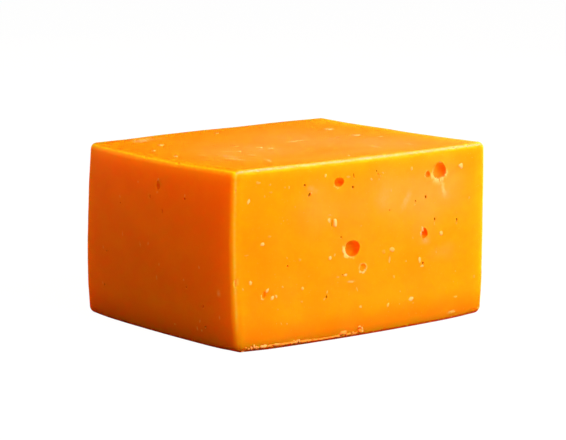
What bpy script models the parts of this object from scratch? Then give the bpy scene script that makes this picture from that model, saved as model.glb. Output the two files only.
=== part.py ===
"""A block of orange cheddar cheese, cut by wire from a larger block.

Units are metres and +Z is up. The origin is the middle of the flat base. +X runs along the long
side, and the front, which has most of the eyes, faces -Y. The block is one solid: a rounded box
whose sides bulge a little, with gas eyes sunk into its faces and crumbs broken from its edges.
"""

import math
import random
from dataclasses import dataclass

import bmesh
import bpy
from mathutils import Matrix, Vector

MM = 0.001

BLOCK_LENGTH = 98 * MM
BLOCK_DEPTH = 83 * MM
BLOCK_HEIGHT = 56 * MM
HALF = Vector((BLOCK_LENGTH, BLOCK_DEPTH, BLOCK_HEIGHT)) / 2

TOP_EDGE_RADIUS = 2.1 * MM
BASE_EDGE_RADIUS = 1.15 * MM

# The upright edge between the front and the left side is rounder, and this far from itself.
FRONT_LEFT_RADIUS = 2.7 * MM
FRONT_LEFT_REACH = 6 * MM

# Corners with a rounding of their own: corner signs, radius there, and how far it reaches.
WORN_CORNERS = (
    ((1, -1, -1), 2.4 * MM, 9 * MM),
    ((-1, 1, -1), 2.2 * MM, 8 * MM),
    ((-1, -1, -1), 2.3 * MM, 7 * MM),
    ((1, 1, -1), 2.2 * MM, 7 * MM),
    ((1, -1, 1), 2.15 * MM, 9 * MM),
    ((-1, 1, 1), 1.9 * MM, 9 * MM),
)

# How far each corner stands from a true box, because the wire wandered. The base stays level.
CORNER_SHIFTS = {
    (-1, -1, -1): Vector((-0.1, 0.8, 0.0)) * MM,
    (-1, -1, 1): Vector((-0.7, 0.55, 0.15)) * MM,
    (-1, 1, -1): Vector((-1.25, -1.05, 0.0)) * MM,
    (-1, 1, 1): Vector((0.8, -0.55, 0.0)) * MM,
    (1, -1, -1): Vector((-0.3, -1.05, 0.0)) * MM,
    (1, -1, 1): Vector((1.05, -0.9, 0.25)) * MM,
    (1, 1, -1): Vector((0.1, -0.15, 0.0)) * MM,
    (1, 1, 1): Vector((0.25, -0.05, 0.4)) * MM,
}

# Bulge of each side: at the middle of its length, and at the middle of its height.
LEFT_BULGE = (1.25 * MM, 0.95 * MM)
RIGHT_BULGE = (0.75 * MM, 0.3 * MM)
FRONT_BULGE = (2.65 * MM, -0.25 * MM)
BACK_BULGE = (0.95 * MM, 0.05 * MM)
# The top is crowned along its length and dished a little from front to back.
TOP_CROWN_ALONG = 0.1 * MM
TOP_CROWN_ACROSS = -0.55 * MM
# The sides bulge unevenly, so the block is moved to bring the middle of its outline to the origin.
MIDDLE_SHIFT = Vector((0.54, 1.09, 0.0)) * MM

GRID_CELLS = 18
EDGE_CELLS = 4
EDGE_ZONE = 2.8 * MM

LARGE_EYE = 2.4 * MM
LARGE_EYE_ROUNDS = 3
SMALL_EYE_ROUNDS = 2
LOBE_DEPTH = 0.06
LOBE_TURN = 0.6

# Middle of each face in the frame of the unit cube, and the axis that a place "along" it follows.
FACES = {
    "front": (Vector((0, -1, 0)), 0),
    "back": (Vector((0, 1, 0)), 0),
    "left": (Vector((-1, 0, 0)), 1),
    "right": (Vector((1, 0, 0)), 1),
}

# Rounds of the search for a place on a face, and the step in the unit cube that finds its slope.
PLACE_STEPS = 4
FRAME_STEP = 0.01

CHIP_SEED = 7


@dataclass(frozen=True)
class Eye:
    """A gas hole that the cut has opened. Sizes are in millimetres, and lean is in degrees.

    along is its place along X or Y on its face, and up is its height over the base. taper makes
    the eye narrower towards its upper end, and lobes gives a torn eye that many corners.
    """

    face: str
    along: float
    up: float
    width: float
    height: float
    depth: float
    lean: float = 0
    taper: float = 0
    lobes: int = 0


EYES = (
    Eye("front", -6.6, 27.9, 5.9, 5.1, 3.0, lean=12, taper=-0.14),
    Eye("front", -11.9, 49.2, 3.5, 2.9, 2.1),
    Eye("front", 29.4, 49.0, 5.6, 5.5, 2.9, lean=8, taper=0.16, lobes=5),
    Eye("front", 24.1, 48.3, 2.0, 2.3, 1.1, taper=0.25),
    Eye("front", 22.9, 29.6, 2.6, 3.5, 1.7, lean=-10, taper=0.35),
    Eye("front", -2.5, 21.5, 2.6, 2.6, 0.9, lean=20),
    Eye("front", -39.6, 17.1, 1.4, 2.4, 0.7, lean=14),
    Eye("front", -3.9, 1.75, 2.1, 1.9, 0.9),
    Eye("left", -0.9, 47.3, 2.1, 3.0, 1.4, taper=0.2),
    Eye("left", 3.4, 43.3, 0.9, 1.5, 0.5, lean=-10),
    Eye("left", -23.8, 12.4, 1.1, 1.3, 0.5),
    Eye("back", 31.0, 38.5, 3.6, 3.3, 2.1, lean=15, taper=0.1),
    Eye("back", 12.5, 18.0, 2.6, 2.9, 1.6, lean=-20),
    Eye("back", -9.0, 44.0, 1.7, 1.8, 0.9),
    Eye("back", -27.5, 29.5, 3.9, 3.5, 2.2, lean=8, taper=-0.1, lobes=5),
    Eye("back", -35.0, 10.5, 1.5, 1.8, 0.8, lean=25),
    Eye("back", 40.0, 12.0, 1.3, 1.3, 0.6),
    Eye("right", -21.7, 41.0, 2.6, 2.4, 1.5, lean=-15),
    Eye("right", 6.8, 22.5, 3.5, 3.2, 2.0, lean=12, taper=0.12),
    Eye("right", 24.3, 45.0, 1.6, 1.9, 0.9),
    Eye("right", -8.7, 8.0, 1.4, 1.2, 0.6),
    Eye("right", 29.3, 12.5, 2.1, 2.3, 1.1, lean=-22, taper=0.2),
)


@dataclass(frozen=True)
class ChipRow:
    """Crumbs broken from a stretch of the lower front edge. Places and sizes are in millimetres."""

    start: float
    end: float
    count: int
    smallest: float
    largest: float


CHIP_ROWS = (
    ChipRow(-42.5, -23.5, 9, 0.7, 1.25),
    ChipRow(-13.0, -5.0, 4, 0.6, 1.0),
)
# Each crumb's height over the base, and ranges for its place in its stretch, squatness and tilt.
CHIP_HEIGHT = (0.8 * MM, 1.25 * MM)
CHIP_PLACE = (0.2, 0.8)
CHIP_DEPTH_SHARE = 0.5
CHIP_HEIGHT_SHARE = (0.35, 0.55)
CHIP_TILT = 0.4


@dataclass(frozen=True)
class EdgeChip:
    """A single flake lost from an edge, given by its place in the unit cube and its size in mm."""

    place: tuple[float, float, float]
    size: tuple[float, float, float]


EDGE_CHIPS = (
    EdgeChip((-1.0, -1.0, -0.23), (0.45, 0.45, 1.3)),
    EdgeChip((0.70, -1.0, 1.0), (1.1, 0.6, 0.5)),
    EdgeChip((0.83, -1.0, 1.0), (0.7, 0.5, 0.6)),
    EdgeChip((0.97, -1.0, -0.93), (0.8, 0.7, 0.6)),
    EdgeChip((-1.0, 0.45, -1.0), (0.5, 1.3, 0.5)),
    EdgeChip((0.30, 1.0, -1.0), (1.6, 0.6, 0.5)),
    EdgeChip((1.0, 0.20, 1.0), (0.5, 1.2, 0.5)),
)


def clear_scene() -> None:
    """Removes every object, mesh, material and collection."""
    for obj in list(bpy.data.objects):
        bpy.data.objects.remove(obj)
    for group in (bpy.data.meshes, bpy.data.materials, bpy.data.collections):
        for block in list(group):
            group.remove(block)


def new_collection(name: str) -> bpy.types.Collection:
    """Makes a collection in the scene."""
    collection = bpy.data.collections.new(name)
    bpy.context.scene.collection.children.link(collection)
    return collection


def cheese_material() -> bpy.types.Material:
    """Waxy orange cheese, as the lit front face shows it."""
    material = bpy.data.materials.new("cheddar")
    material.use_nodes = True
    shader = material.node_tree.nodes["Principled BSDF"]
    shader.inputs["Base Color"].default_value = (0.96, 0.36, 0.01, 1)
    shader.inputs["Roughness"].default_value = 0.42
    shader.inputs["Metallic"].default_value = 0
    shader.inputs["Subsurface Weight"].default_value = 0.5
    shader.inputs["Subsurface Radius"].default_value = (1.0, 0.3, 0.02)
    shader.inputs["Subsurface Scale"].default_value = 4 * MM
    material.diffuse_color = (0.96, 0.36, 0.01, 1)
    return material


def scaled(place: Vector, size: Vector) -> Vector:
    """Multiplies two vectors part by part."""
    return Vector(a * b for a, b in zip(place, size))


def rounding_radius(place: Vector) -> float:
    """Radius of the rounded edges near a place in the unit cube."""
    level = (place.z + 1) / 2
    radius = BASE_EDGE_RADIUS + (TOP_EDGE_RADIUS - BASE_EDGE_RADIUS) * level
    from_edge = math.hypot((place.x + 1) * HALF.x, (place.y + 1) * HALF.y)
    radius += (FRONT_LEFT_RADIUS - radius) * math.exp(-((from_edge / FRONT_LEFT_REACH) ** 2))
    for corner, worn_radius, reach in WORN_CORNERS:
        gap = scaled(place - Vector(corner), HALF).length
        radius += (worn_radius - radius) * math.exp(-((gap / reach) ** 2))
    return radius


def bulge(place: Vector) -> Vector:
    """How far the sides and the top stand out of a true box at a place in the unit cube."""
    hump_x, hump_y, hump_z = (1 - c * c for c in place)
    side = RIGHT_BULGE if place.x > 0 else LEFT_BULGE
    end = BACK_BULGE if place.y > 0 else FRONT_BULGE
    crown = TOP_CROWN_ALONG * hump_x + TOP_CROWN_ACROSS * hump_y
    return Vector(
        (
            place.x * (side[0] * hump_y + side[1] * hump_z),
            place.y * (end[0] * hump_x + end[1] * hump_z),
            max(place.z, 0) * crown,
        )
    )


def corner_shift(place: Vector) -> Vector:
    """The corners' shifts, blended evenly to a place in the unit cube."""
    total = Vector((0, 0, 0))
    for corner, shift in CORNER_SHIFTS.items():
        share = math.prod((1 + sign * c) / 2 for sign, c in zip(corner, place))
        total += shift * share
    return total


def skin_point(place: Vector) -> Vector:
    """The point of the block's skin that a place on the unit cube stands for."""
    sharp = scaled(place, HALF)
    radius = rounding_radius(place)
    core = Vector(max(-(h - radius), min(h - radius, c)) for c, h in zip(sharp, HALF))
    point = core + (sharp - core).normalized() * radius
    share = Vector(c / h for c, h in zip(point, HALF))
    lift = Vector((0, 0, HALF.z))
    return point + bulge(share) + corner_shift(share) + lift + MIDDLE_SHIFT


def graded(coordinate: float, half: float) -> float:
    """Moves an evenly spaced grid line so that several fall within each rounded edge."""
    line = round((coordinate + 1) / 2 * GRID_CELLS)
    from_edge = min(line, GRID_CELLS - line)
    zone = EDGE_ZONE / half
    if from_edge <= EDGE_CELLS:
        inset = zone * from_edge / EDGE_CELLS
    else:
        inset = zone + (1 - zone) * (from_edge - EDGE_CELLS) / (GRID_CELLS / 2 - EDGE_CELLS)
    return math.copysign(1 - inset, coordinate)


def add_block(collection: bpy.types.Collection) -> bpy.types.Object:
    """Makes the block before anything is cut from it, from a cube split into a grid."""
    bm = bmesh.new()
    bmesh.ops.create_cube(bm, size=2)
    bmesh.ops.subdivide_edges(bm, edges=bm.edges, cuts=GRID_CELLS - 1, use_grid_fill=True)
    for vert in bm.verts:
        place = Vector(graded(c, h) for c, h in zip(vert.co, HALF))
        vert.co = skin_point(place)
    bmesh.ops.recalc_face_normals(bm, faces=bm.faces)
    mesh = bpy.data.meshes.new("cheese_block")
    bm.to_mesh(mesh)
    bm.free()
    mesh.shade_smooth()
    mesh.materials.append(cheese_material())
    block = bpy.data.objects.new("cheese_block", mesh)
    collection.objects.link(block)
    return block


def face_place(face: str, along: float, up: float) -> Vector:
    """Finds the place in the unit cube whose skin point is along and up on a face."""
    middle, axis = FACES[face]
    place = middle.copy()
    for _ in range(PLACE_STEPS):
        point = skin_point(place)
        place[axis] += (along - point[axis]) / HALF[axis]
        place.z += (up - point.z) / HALF.z
    return place


def face_frame(face: str, along: float, up: float) -> Matrix:
    """A frame on the skin of a face: X runs across it, Y points into the cheese, Z upwards."""
    place = face_place(face, along, up)
    outward, axis = FACES[face]
    across = Vector((0, 0, 0))
    across[axis] = FRAME_STEP
    origin = skin_point(place)
    side = skin_point(place + across) - origin
    rise = (skin_point(place + Vector((0, 0, FRAME_STEP))) - origin).normalized()
    inward = rise.cross(side).normalized()
    if inward.dot(outward) > 0:
        inward.negate()
    side = inward.cross(rise)
    return Matrix.Translation(origin) @ Matrix((side, inward, rise)).transposed().to_4x4()


def add_cutter(name: str, rounds: int, collection: bpy.types.Collection) -> bpy.types.Object:
    """A unit ball that will be shaped into one cutter."""
    bm = bmesh.new()
    bmesh.ops.create_icosphere(bm, subdivisions=rounds, radius=1)
    mesh = bpy.data.meshes.new(name)
    bm.to_mesh(mesh)
    bm.free()
    cutter = bpy.data.objects.new(name, mesh)
    cutter.hide_render = True
    cutter.display_type = "WIRE"
    collection.objects.link(cutter)
    return cutter


def shape_eye(eye: Eye, mesh: bpy.types.Mesh) -> None:
    """Turns a unit ball into an egg of the eye's size, with corners if the eye is torn."""
    for vert in mesh.vertices:
        turn = math.atan2(vert.co.z, vert.co.x)
        corners = 1 + LOBE_DEPTH * math.cos(eye.lobes * turn + LOBE_TURN) if eye.lobes else 1
        narrow = 1 - eye.taper * vert.co.z
        vert.co.x *= eye.width * MM / 2 * narrow * corners
        vert.co.y *= eye.depth * MM
        vert.co.z *= eye.height * MM / 2 * corners


def add_eyes(cutters: bpy.types.Collection) -> None:
    """Places one cutter for each eye, half sunk into its face."""
    for number, eye in enumerate(EYES):
        large = eye.width * MM > LARGE_EYE
        rounds = LARGE_EYE_ROUNDS if large else SMALL_EYE_ROUNDS
        cutter = add_cutter(f"eye_{number:02d}", rounds, cutters)
        shape_eye(eye, cutter.data)
        lean = Matrix.Rotation(math.radians(eye.lean), 4, "Y")
        frame = face_frame(eye.face, eye.along * MM, eye.up * MM)
        cutter.data.transform(frame @ lean)


def add_chip_rows(cutters: bpy.types.Collection) -> None:
    """Places the small cutters that break crumbs from the lower front edge."""
    draw = random.Random(CHIP_SEED)
    for row in CHIP_ROWS:
        for number in range(row.count):
            share = (number + draw.uniform(*CHIP_PLACE)) / row.count
            along = (row.start + (row.end - row.start) * share) * MM
            width = draw.uniform(row.smallest, row.largest) * MM
            height = width * draw.uniform(*CHIP_HEIGHT_SHARE)
            cutter = add_cutter(f"chip_{row.count}_{number:02d}", SMALL_EYE_ROUNDS, cutters)
            spread = Matrix.Diagonal((width, width * CHIP_DEPTH_SHARE, height, 1))
            tilt = Matrix.Rotation(draw.uniform(-CHIP_TILT, CHIP_TILT), 4, "Y")
            frame = face_frame("front", along, draw.uniform(*CHIP_HEIGHT))
            cutter.data.transform(frame @ tilt @ spread)


def add_edge_chips(cutters: bpy.types.Collection) -> None:
    """Places the cutters for the single flakes lost from other edges."""
    for number, chip in enumerate(EDGE_CHIPS):
        cutter = add_cutter(f"flake_{number:02d}", SMALL_EYE_ROUNDS, cutters)
        cutter.data.transform(Matrix.Diagonal((*(s * MM for s in chip.size), 1)))
        cutter.data.transform(Matrix.Translation(skin_point(Vector(chip.place))))


def cut(block: bpy.types.Object, cutters: bpy.types.Collection) -> None:
    """Takes every cutter out of the block."""
    boolean = block.modifiers.new("eyes_and_chips", "BOOLEAN")
    boolean.operation = "DIFFERENCE"
    boolean.solver = "EXACT"
    boolean.operand_type = "COLLECTION"
    boolean.collection = cutters


def main() -> None:
    """Builds the cheese."""
    clear_scene()
    cheese = new_collection("cheddar_block")
    cutters = new_collection("cutters")
    cutters.hide_render = True
    block = add_block(cheese)
    add_eyes(cutters)
    add_chip_rows(cutters)
    add_edge_chips(cutters)
    cut(block, cutters)


main()
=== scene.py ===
"""The looks of a block of orange cheddar cheese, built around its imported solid.

Units are metres and +Z is up. The block stands on its base at the origin, with its long side along
X and its front facing -Y. One closed mesh with the fine relief stands for the solid, and two more
hold what lies loose on it: pale flecks of curd on the faces and crumbs along the lower edges.
"""

import logging
import math
import random
from dataclasses import dataclass, field
from enum import Enum
from typing import Any, ClassVar

import bmesh
import bpy
import numpy as np
from mathutils import Matrix, Vector, noise

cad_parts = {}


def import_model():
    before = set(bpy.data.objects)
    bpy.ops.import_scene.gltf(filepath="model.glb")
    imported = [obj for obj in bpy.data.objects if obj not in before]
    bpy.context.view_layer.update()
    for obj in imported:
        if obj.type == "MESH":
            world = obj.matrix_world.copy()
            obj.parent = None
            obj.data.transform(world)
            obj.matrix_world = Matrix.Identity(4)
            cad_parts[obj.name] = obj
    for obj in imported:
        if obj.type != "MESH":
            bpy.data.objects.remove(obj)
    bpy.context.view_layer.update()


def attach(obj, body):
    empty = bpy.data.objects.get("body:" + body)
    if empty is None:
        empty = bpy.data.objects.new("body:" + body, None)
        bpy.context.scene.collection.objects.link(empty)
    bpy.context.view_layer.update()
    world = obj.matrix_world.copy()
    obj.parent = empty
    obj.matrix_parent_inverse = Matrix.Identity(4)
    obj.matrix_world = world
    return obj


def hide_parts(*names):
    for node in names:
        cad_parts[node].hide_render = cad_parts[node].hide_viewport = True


LOG = logging.getLogger("cheddar")
MM = 0.001
BODY = "root"
NODE = "cheese_block"
TONE = "tone"

# The block's length, depth and height before its faces bulge, in millimetres.
BLOCK = (98.0, 83.0, 56.0)

Colour = tuple[float, float, float]
Span = tuple[float, float]
Ramp = tuple[float, float, float, float]


class Face(Enum):
    """A face of the block: its outward side in the unit cube, and the axes of a place on it."""

    FRONT = ((0, -1, 0), 0, 2)
    BACK = ((0, 1, 0), 0, 2)
    LEFT = ((-1, 0, 0), 1, 2)
    RIGHT = ((1, 0, 0), 1, 2)
    TOP = ((0, 0, 1), 0, 1)

    @property
    def outward(self) -> np.ndarray:
        """The face's middle in the unit cube, which is also its outward direction."""
        return np.array(self.value[0], float)

    @property
    def axes(self) -> tuple[int, int]:
        """The axes that along and up follow on this face."""
        return self.value[1], self.value[2]


FRONT, BACK, LEFT, RIGHT, TOP = Face


class Mark(Enum):
    """What a place of the skin is marked as, by the name of the mesh's attribute.

    Pale curd, with a painted highlight on the lit side of eye rims; painted shade on the walls of
    hollows and on shaded patches; darker painted shade in the bottoms of pits; painted sheen; a
    rubbed place; a grazed one; and the painted glow of edges and eye roofs and the painted highlight
    on the crest of an edge.
    """

    PALE = "pale"
    CAVITY = "cavity"
    DARK = "dark"
    HAZE = "haze"
    RUB = "rub"
    GRAZE = "graze"
    RIM = "rim"
    CREST = "crest"


PALE, CAVITY, DARK, HAZE, RUB, GRAZE, RIM, CREST = Mark


def smooth_step(low: float, high: float, values: np.ndarray) -> np.ndarray:
    """0 below low, 1 above high, and an even slope with round ends between them."""
    share = np.clip((values - low) / (high - low), 0, 1)
    return share * share * (3 - 2 * share)


def mesh_of(bm: bmesh.types.BMesh, name: str) -> bpy.types.Mesh:
    """Writes a bmesh to a new mesh, and frees it.

    Args:
        bm: The bmesh.
        name: The mesh's name.

    Returns:
        The mesh.
    """
    mesh = bpy.data.meshes.new(name)
    bm.to_mesh(mesh)
    bm.free()
    return mesh


def linked(name: str, data: bpy.types.ID) -> bpy.types.Object:
    """Makes an object of its data in the scene.

    Args:
        name: The object's name.
        data: Its mesh, light or camera.

    Returns:
        The object.
    """
    made = bpy.data.objects.new(name, data)
    bpy.context.scene.collection.objects.link(made)
    return made


class Waves:
    """A smooth pseudo-random field made of sine waves, for whole arrays of points at once."""

    length_shares: ClassVar[Span] = (0.6, 1.6)

    def __init__(self, seed: int, length: float, count: int = 9) -> None:
        """Draws the waves.

        Args:
            seed: Seed of the draw.
            length: Typical wavelength, in the unit of the points.
            count: How many waves are added.
        """
        draw = np.random.default_rng(seed)
        ways = draw.normal(size=(count, 3))
        ways /= np.linalg.norm(ways, axis=1, keepdims=True)
        lengths = length * draw.uniform(*self.length_shares, size=(count, 1))
        self.ways = ways * (2 * math.pi / lengths)
        self.phases = draw.uniform(0, 2 * math.pi, size=count)

    def at(self, points: np.ndarray) -> np.ndarray:
        """Values of the field.

        Args:
            points: Points, one a row.

        Returns:
            One value for each point, mostly between -1 and 1.
        """
        waves = np.sin(points @ self.ways.T + self.phases)
        return waves.sum(axis=1) / math.sqrt(2 * len(self.phases))


@dataclass(frozen=True)
class SkinFrame:
    """A flat frame on the skin: across is the viewer's right, inward goes into the cheese."""

    origin: np.ndarray
    across: np.ndarray
    inward: np.ndarray
    rise: np.ndarray

    @property
    def basis(self) -> np.ndarray:
        """The three directions, one a row."""
        return np.stack([self.across, self.inward, self.rise])

    def local(self, points: np.ndarray) -> np.ndarray:
        """Turns points into across, inward and rise parts, one row each."""
        return (points - self.origin) @ self.basis.T

    def world(self, parts: np.ndarray) -> np.ndarray:
        """Turns across, inward and rise parts back into points."""
        return self.origin + parts @ self.basis

    def leant(self, turn: float) -> "SkinFrame":
        """The frame turned in its own plane by radians, its rise leaning to the viewer's right.

        Args:
            turn: How far it turns, in radians.

        Returns:
            The turned frame.
        """
        cos, sin = math.cos(turn), math.sin(turn)
        across = self.across * cos - self.rise * sin
        rise = self.rise * cos + self.across * sin
        return SkinFrame(self.origin, across, self.inward, rise)

    def moved(self, inward: float = 0, rise: float = 0) -> "SkinFrame":
        """The frame moved by metres into the cheese and up its face."""
        origin = self.origin + self.inward * inward + self.rise * rise
        return SkinFrame(origin, self.across, self.inward, self.rise)


@dataclass(frozen=True)
class WornCorner:
    """A corner with a rounding of its own, and how far that reaches."""

    corner: tuple[int, int, int]
    radius: float
    reach: float


@dataclass(frozen=True)
class BlockForm:
    """The form of the block, with the same sizes as its solid, and the slight waves of its faces.

    A place is a point on the unit cube, from -1 to 1 each way. Every place has one skin point.
    Each bulge is how far a side stands out along its length, and how far up its height. waves holds
    the seed, the length in millimetres and the height in metres of each set of waves.
    """

    half: np.ndarray
    top_radius: float = 2.1 * MM
    base_radius: float = 1.15 * MM
    front_left_radius: float = 2.7 * MM
    front_left_reach: float = 6 * MM
    worn: tuple[WornCorner, ...] = (
        WornCorner((1, -1, -1), 2.4 * MM, 9 * MM),
        WornCorner((-1, 1, -1), 2.2 * MM, 8 * MM),
        WornCorner((-1, -1, -1), 2.3 * MM, 7 * MM),
        WornCorner((1, 1, -1), 2.2 * MM, 7 * MM),
        WornCorner((1, -1, 1), 2.15 * MM, 9 * MM),
        WornCorner((-1, 1, 1), 1.9 * MM, 9 * MM),
    )
    left_bulge: Span = (1.25 * MM, 0.95 * MM)
    right_bulge: Span = (0.75 * MM, 0.3 * MM)
    front_bulge: Span = (2.65 * MM, -0.25 * MM)
    back_bulge: Span = (0.95 * MM, 0.05 * MM)
    crown_along: float = 0.1 * MM
    crown_across: float = -0.55 * MM
    middle_shift: tuple[float, float, float] = (0.54 * MM, 1.09 * MM, 0.0)
    waves: tuple[tuple[int, float, float], ...] = (
        (3, 26.0, 0.07 * MM),
        (4, 9.0, 0.028 * MM),
        (5, 3.6, 0.010 * MM),
    )
    still_height: float = 2.5 * MM
    place_steps: int = 5
    frame_step: float = 0.01

    @property
    def middle(self) -> np.ndarray:
        """The middle of the block before its sides bulge."""
        return np.array(self.middle_shift) + np.array([0, 0, self.half[2]])

    @staticmethod
    def corner_shifts() -> dict[tuple[int, int, int], tuple[float, float, float]]:
        """How far each corner stands from a true box, in millimetres.

        Returns:
            The shift of each corner, by the corner's place.
        """
        return {
            (-1, -1, -1): (-0.1, 0.8, 0.0),
            (-1, -1, 1): (-0.7, 0.55, 0.15),
            (-1, 1, -1): (-1.25, -1.05, 0.0),
            (-1, 1, 1): (0.8, -0.55, 0.0),
            (1, -1, -1): (-0.3, -1.05, 0.0),
            (1, -1, 1): (1.05, -0.9, 0.25),
            (1, 1, -1): (0.1, -0.15, 0.0),
            (1, 1, 1): (0.25, -0.05, 0.4),
        }

    def rounding(self, places: np.ndarray) -> np.ndarray:
        """Radius of the rounded edges near each place.

        Args:
            places: Places, one a row.

        Returns:
            One radius for each place, in metres.
        """
        level = (places[:, 2] + 1) / 2
        radius = self.base_radius + (self.top_radius - self.base_radius) * level
        from_edge = ((places[:, :2] + 1) * self.half[:2] / self.front_left_reach) ** 2
        radius = radius + (self.front_left_radius - radius) * np.exp(-from_edge.sum(axis=1))
        for worn in self.worn:
            gap = (places - np.array(worn.corner)) * self.half
            share = np.exp(-(gap**2).sum(axis=1) / worn.reach**2)
            radius = radius + (worn.radius - radius) * share
        return radius

    def bulge(self, shares: np.ndarray) -> np.ndarray:
        """How far the sides and the top stand out of a true box.

        Args:
            shares: Each point's share of the way from the middle to each side.

        Returns:
            How far each point moves, in metres.
        """
        humps = 1 - shares**2
        side = np.where(shares[:, :1] > 0, self.right_bulge, self.left_bulge)
        end = np.where(shares[:, 1:2] > 0, self.back_bulge, self.front_bulge)
        out_x = shares[:, 0] * (side[:, 0] * humps[:, 1] + side[:, 1] * humps[:, 2])
        out_y = shares[:, 1] * (end[:, 0] * humps[:, 0] + end[:, 1] * humps[:, 2])
        crown = self.crown_along * humps[:, 0] + self.crown_across * humps[:, 1]
        return np.stack([out_x, out_y, np.maximum(shares[:, 2], 0) * crown], axis=1)

    def corner_shift(self, shares: np.ndarray) -> np.ndarray:
        """The corners' shifts, blended evenly between them.

        Args:
            shares: Each point's share of the way from the middle to each side.

        Returns:
            How far each point moves, in metres.
        """
        total = np.zeros_like(shares)
        for corner, shift in self.corner_shifts().items():
            weight = np.prod((1 + np.array(corner) * shares) / 2, axis=1)
            total += weight[:, None] * np.array(shift) * MM
        return total

    def skin(self, places: np.ndarray) -> np.ndarray:
        """Skin points of places on the unit cube, without the waves.

        Args:
            places: Places, one a row.

        Returns:
            The points in metres, one a row.
        """
        sharp = places * self.half
        radius = self.rounding(places)[:, None]
        core = np.clip(sharp, -(self.half - radius), self.half - radius)
        out = sharp - core
        point = core + out * (radius / np.linalg.norm(out, axis=1, keepdims=True))
        shares = point / self.half
        return point + self.bulge(shares) + self.corner_shift(shares) + self.middle

    def swell(self, points: np.ndarray) -> np.ndarray:
        """How far the waves lift each skin point outwards: nothing near the flat base."""
        free = smooth_step(0.0, self.still_height, points[:, 2])
        return free * sum(Waves(seed, run * MM).at(points) * high for seed, run, high in self.waves)

    def point(self, place: np.ndarray) -> np.ndarray:
        """The skin point of one place."""
        return self.skin(place[None, :])[0]

    def on_waves(self, frame: SkinFrame) -> SkinFrame:
        """The frame moved out or in to the wavy skin."""
        return frame.moved(inward=-self.swell(frame.origin[None, :])[0])

    def frame(self, face: Face, along: float, up: float) -> SkinFrame:
        """The frame on a face at a place given in metres along its two axes.

        Args:
            face: The face.
            along: Place along the face's first axis.
            up: Place along its second axis.

        Returns:
            The frame there.
        """
        place = face.outward
        for _ in range(self.place_steps):
            point = self.point(place)
            for axis, wanted in zip(face.axes, (along, up)):
                place[axis] += (wanted - point[axis]) / self.half[axis]
        origin = self.point(place)
        steps = np.zeros((2, 3))
        for row, axis in enumerate(face.axes):
            steps[row, axis] = self.frame_step
        first, second = (self.point(place + step) - origin for step in steps)
        rise = second / np.linalg.norm(second)
        inward = np.cross(rise, first)
        inward *= -np.sign(inward @ face.outward) / np.linalg.norm(inward)
        return self.on_waves(SkinFrame(origin, np.cross(inward, rise), inward, rise))

    def edge_frame(self, place: tuple[float, float, float]) -> SkinFrame:
        """The frame at a place on an edge, its across along the edge and its inward square to it.

        Args:
            place: The place. Its parts at full length say which faces meet there.

        Returns:
            The frame there.
        """
        spot = np.array(place, float)
        held = np.abs(spot) == 1
        inward = np.where(held, -spot, 0) / math.sqrt(held.sum())
        along = np.zeros(3)
        along[int(np.argmin(held))] = 1
        rise = np.cross(along, inward)
        return self.on_waves(SkinFrame(self.point(spot), along, inward, rise))


@dataclass
class Skin:
    """The points of the body's mesh while its relief is pressed in, with what each is marked as."""

    points: np.ndarray
    normals: np.ndarray
    marks: dict[Mark, np.ndarray]

    def near(self, centre: np.ndarray, reach: float) -> np.ndarray:
        """Numbers of the points within reach of a centre."""
        return np.flatnonzero(np.linalg.norm(self.points - centre, axis=1) < reach)

    def mark(self, mark: Mark, chosen: np.ndarray, amount: np.ndarray) -> None:
        """Raises a mark of the chosen points to an amount, where it is lower."""
        self.marks[mark][chosen] = np.maximum(self.marks[mark][chosen], amount)


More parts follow.
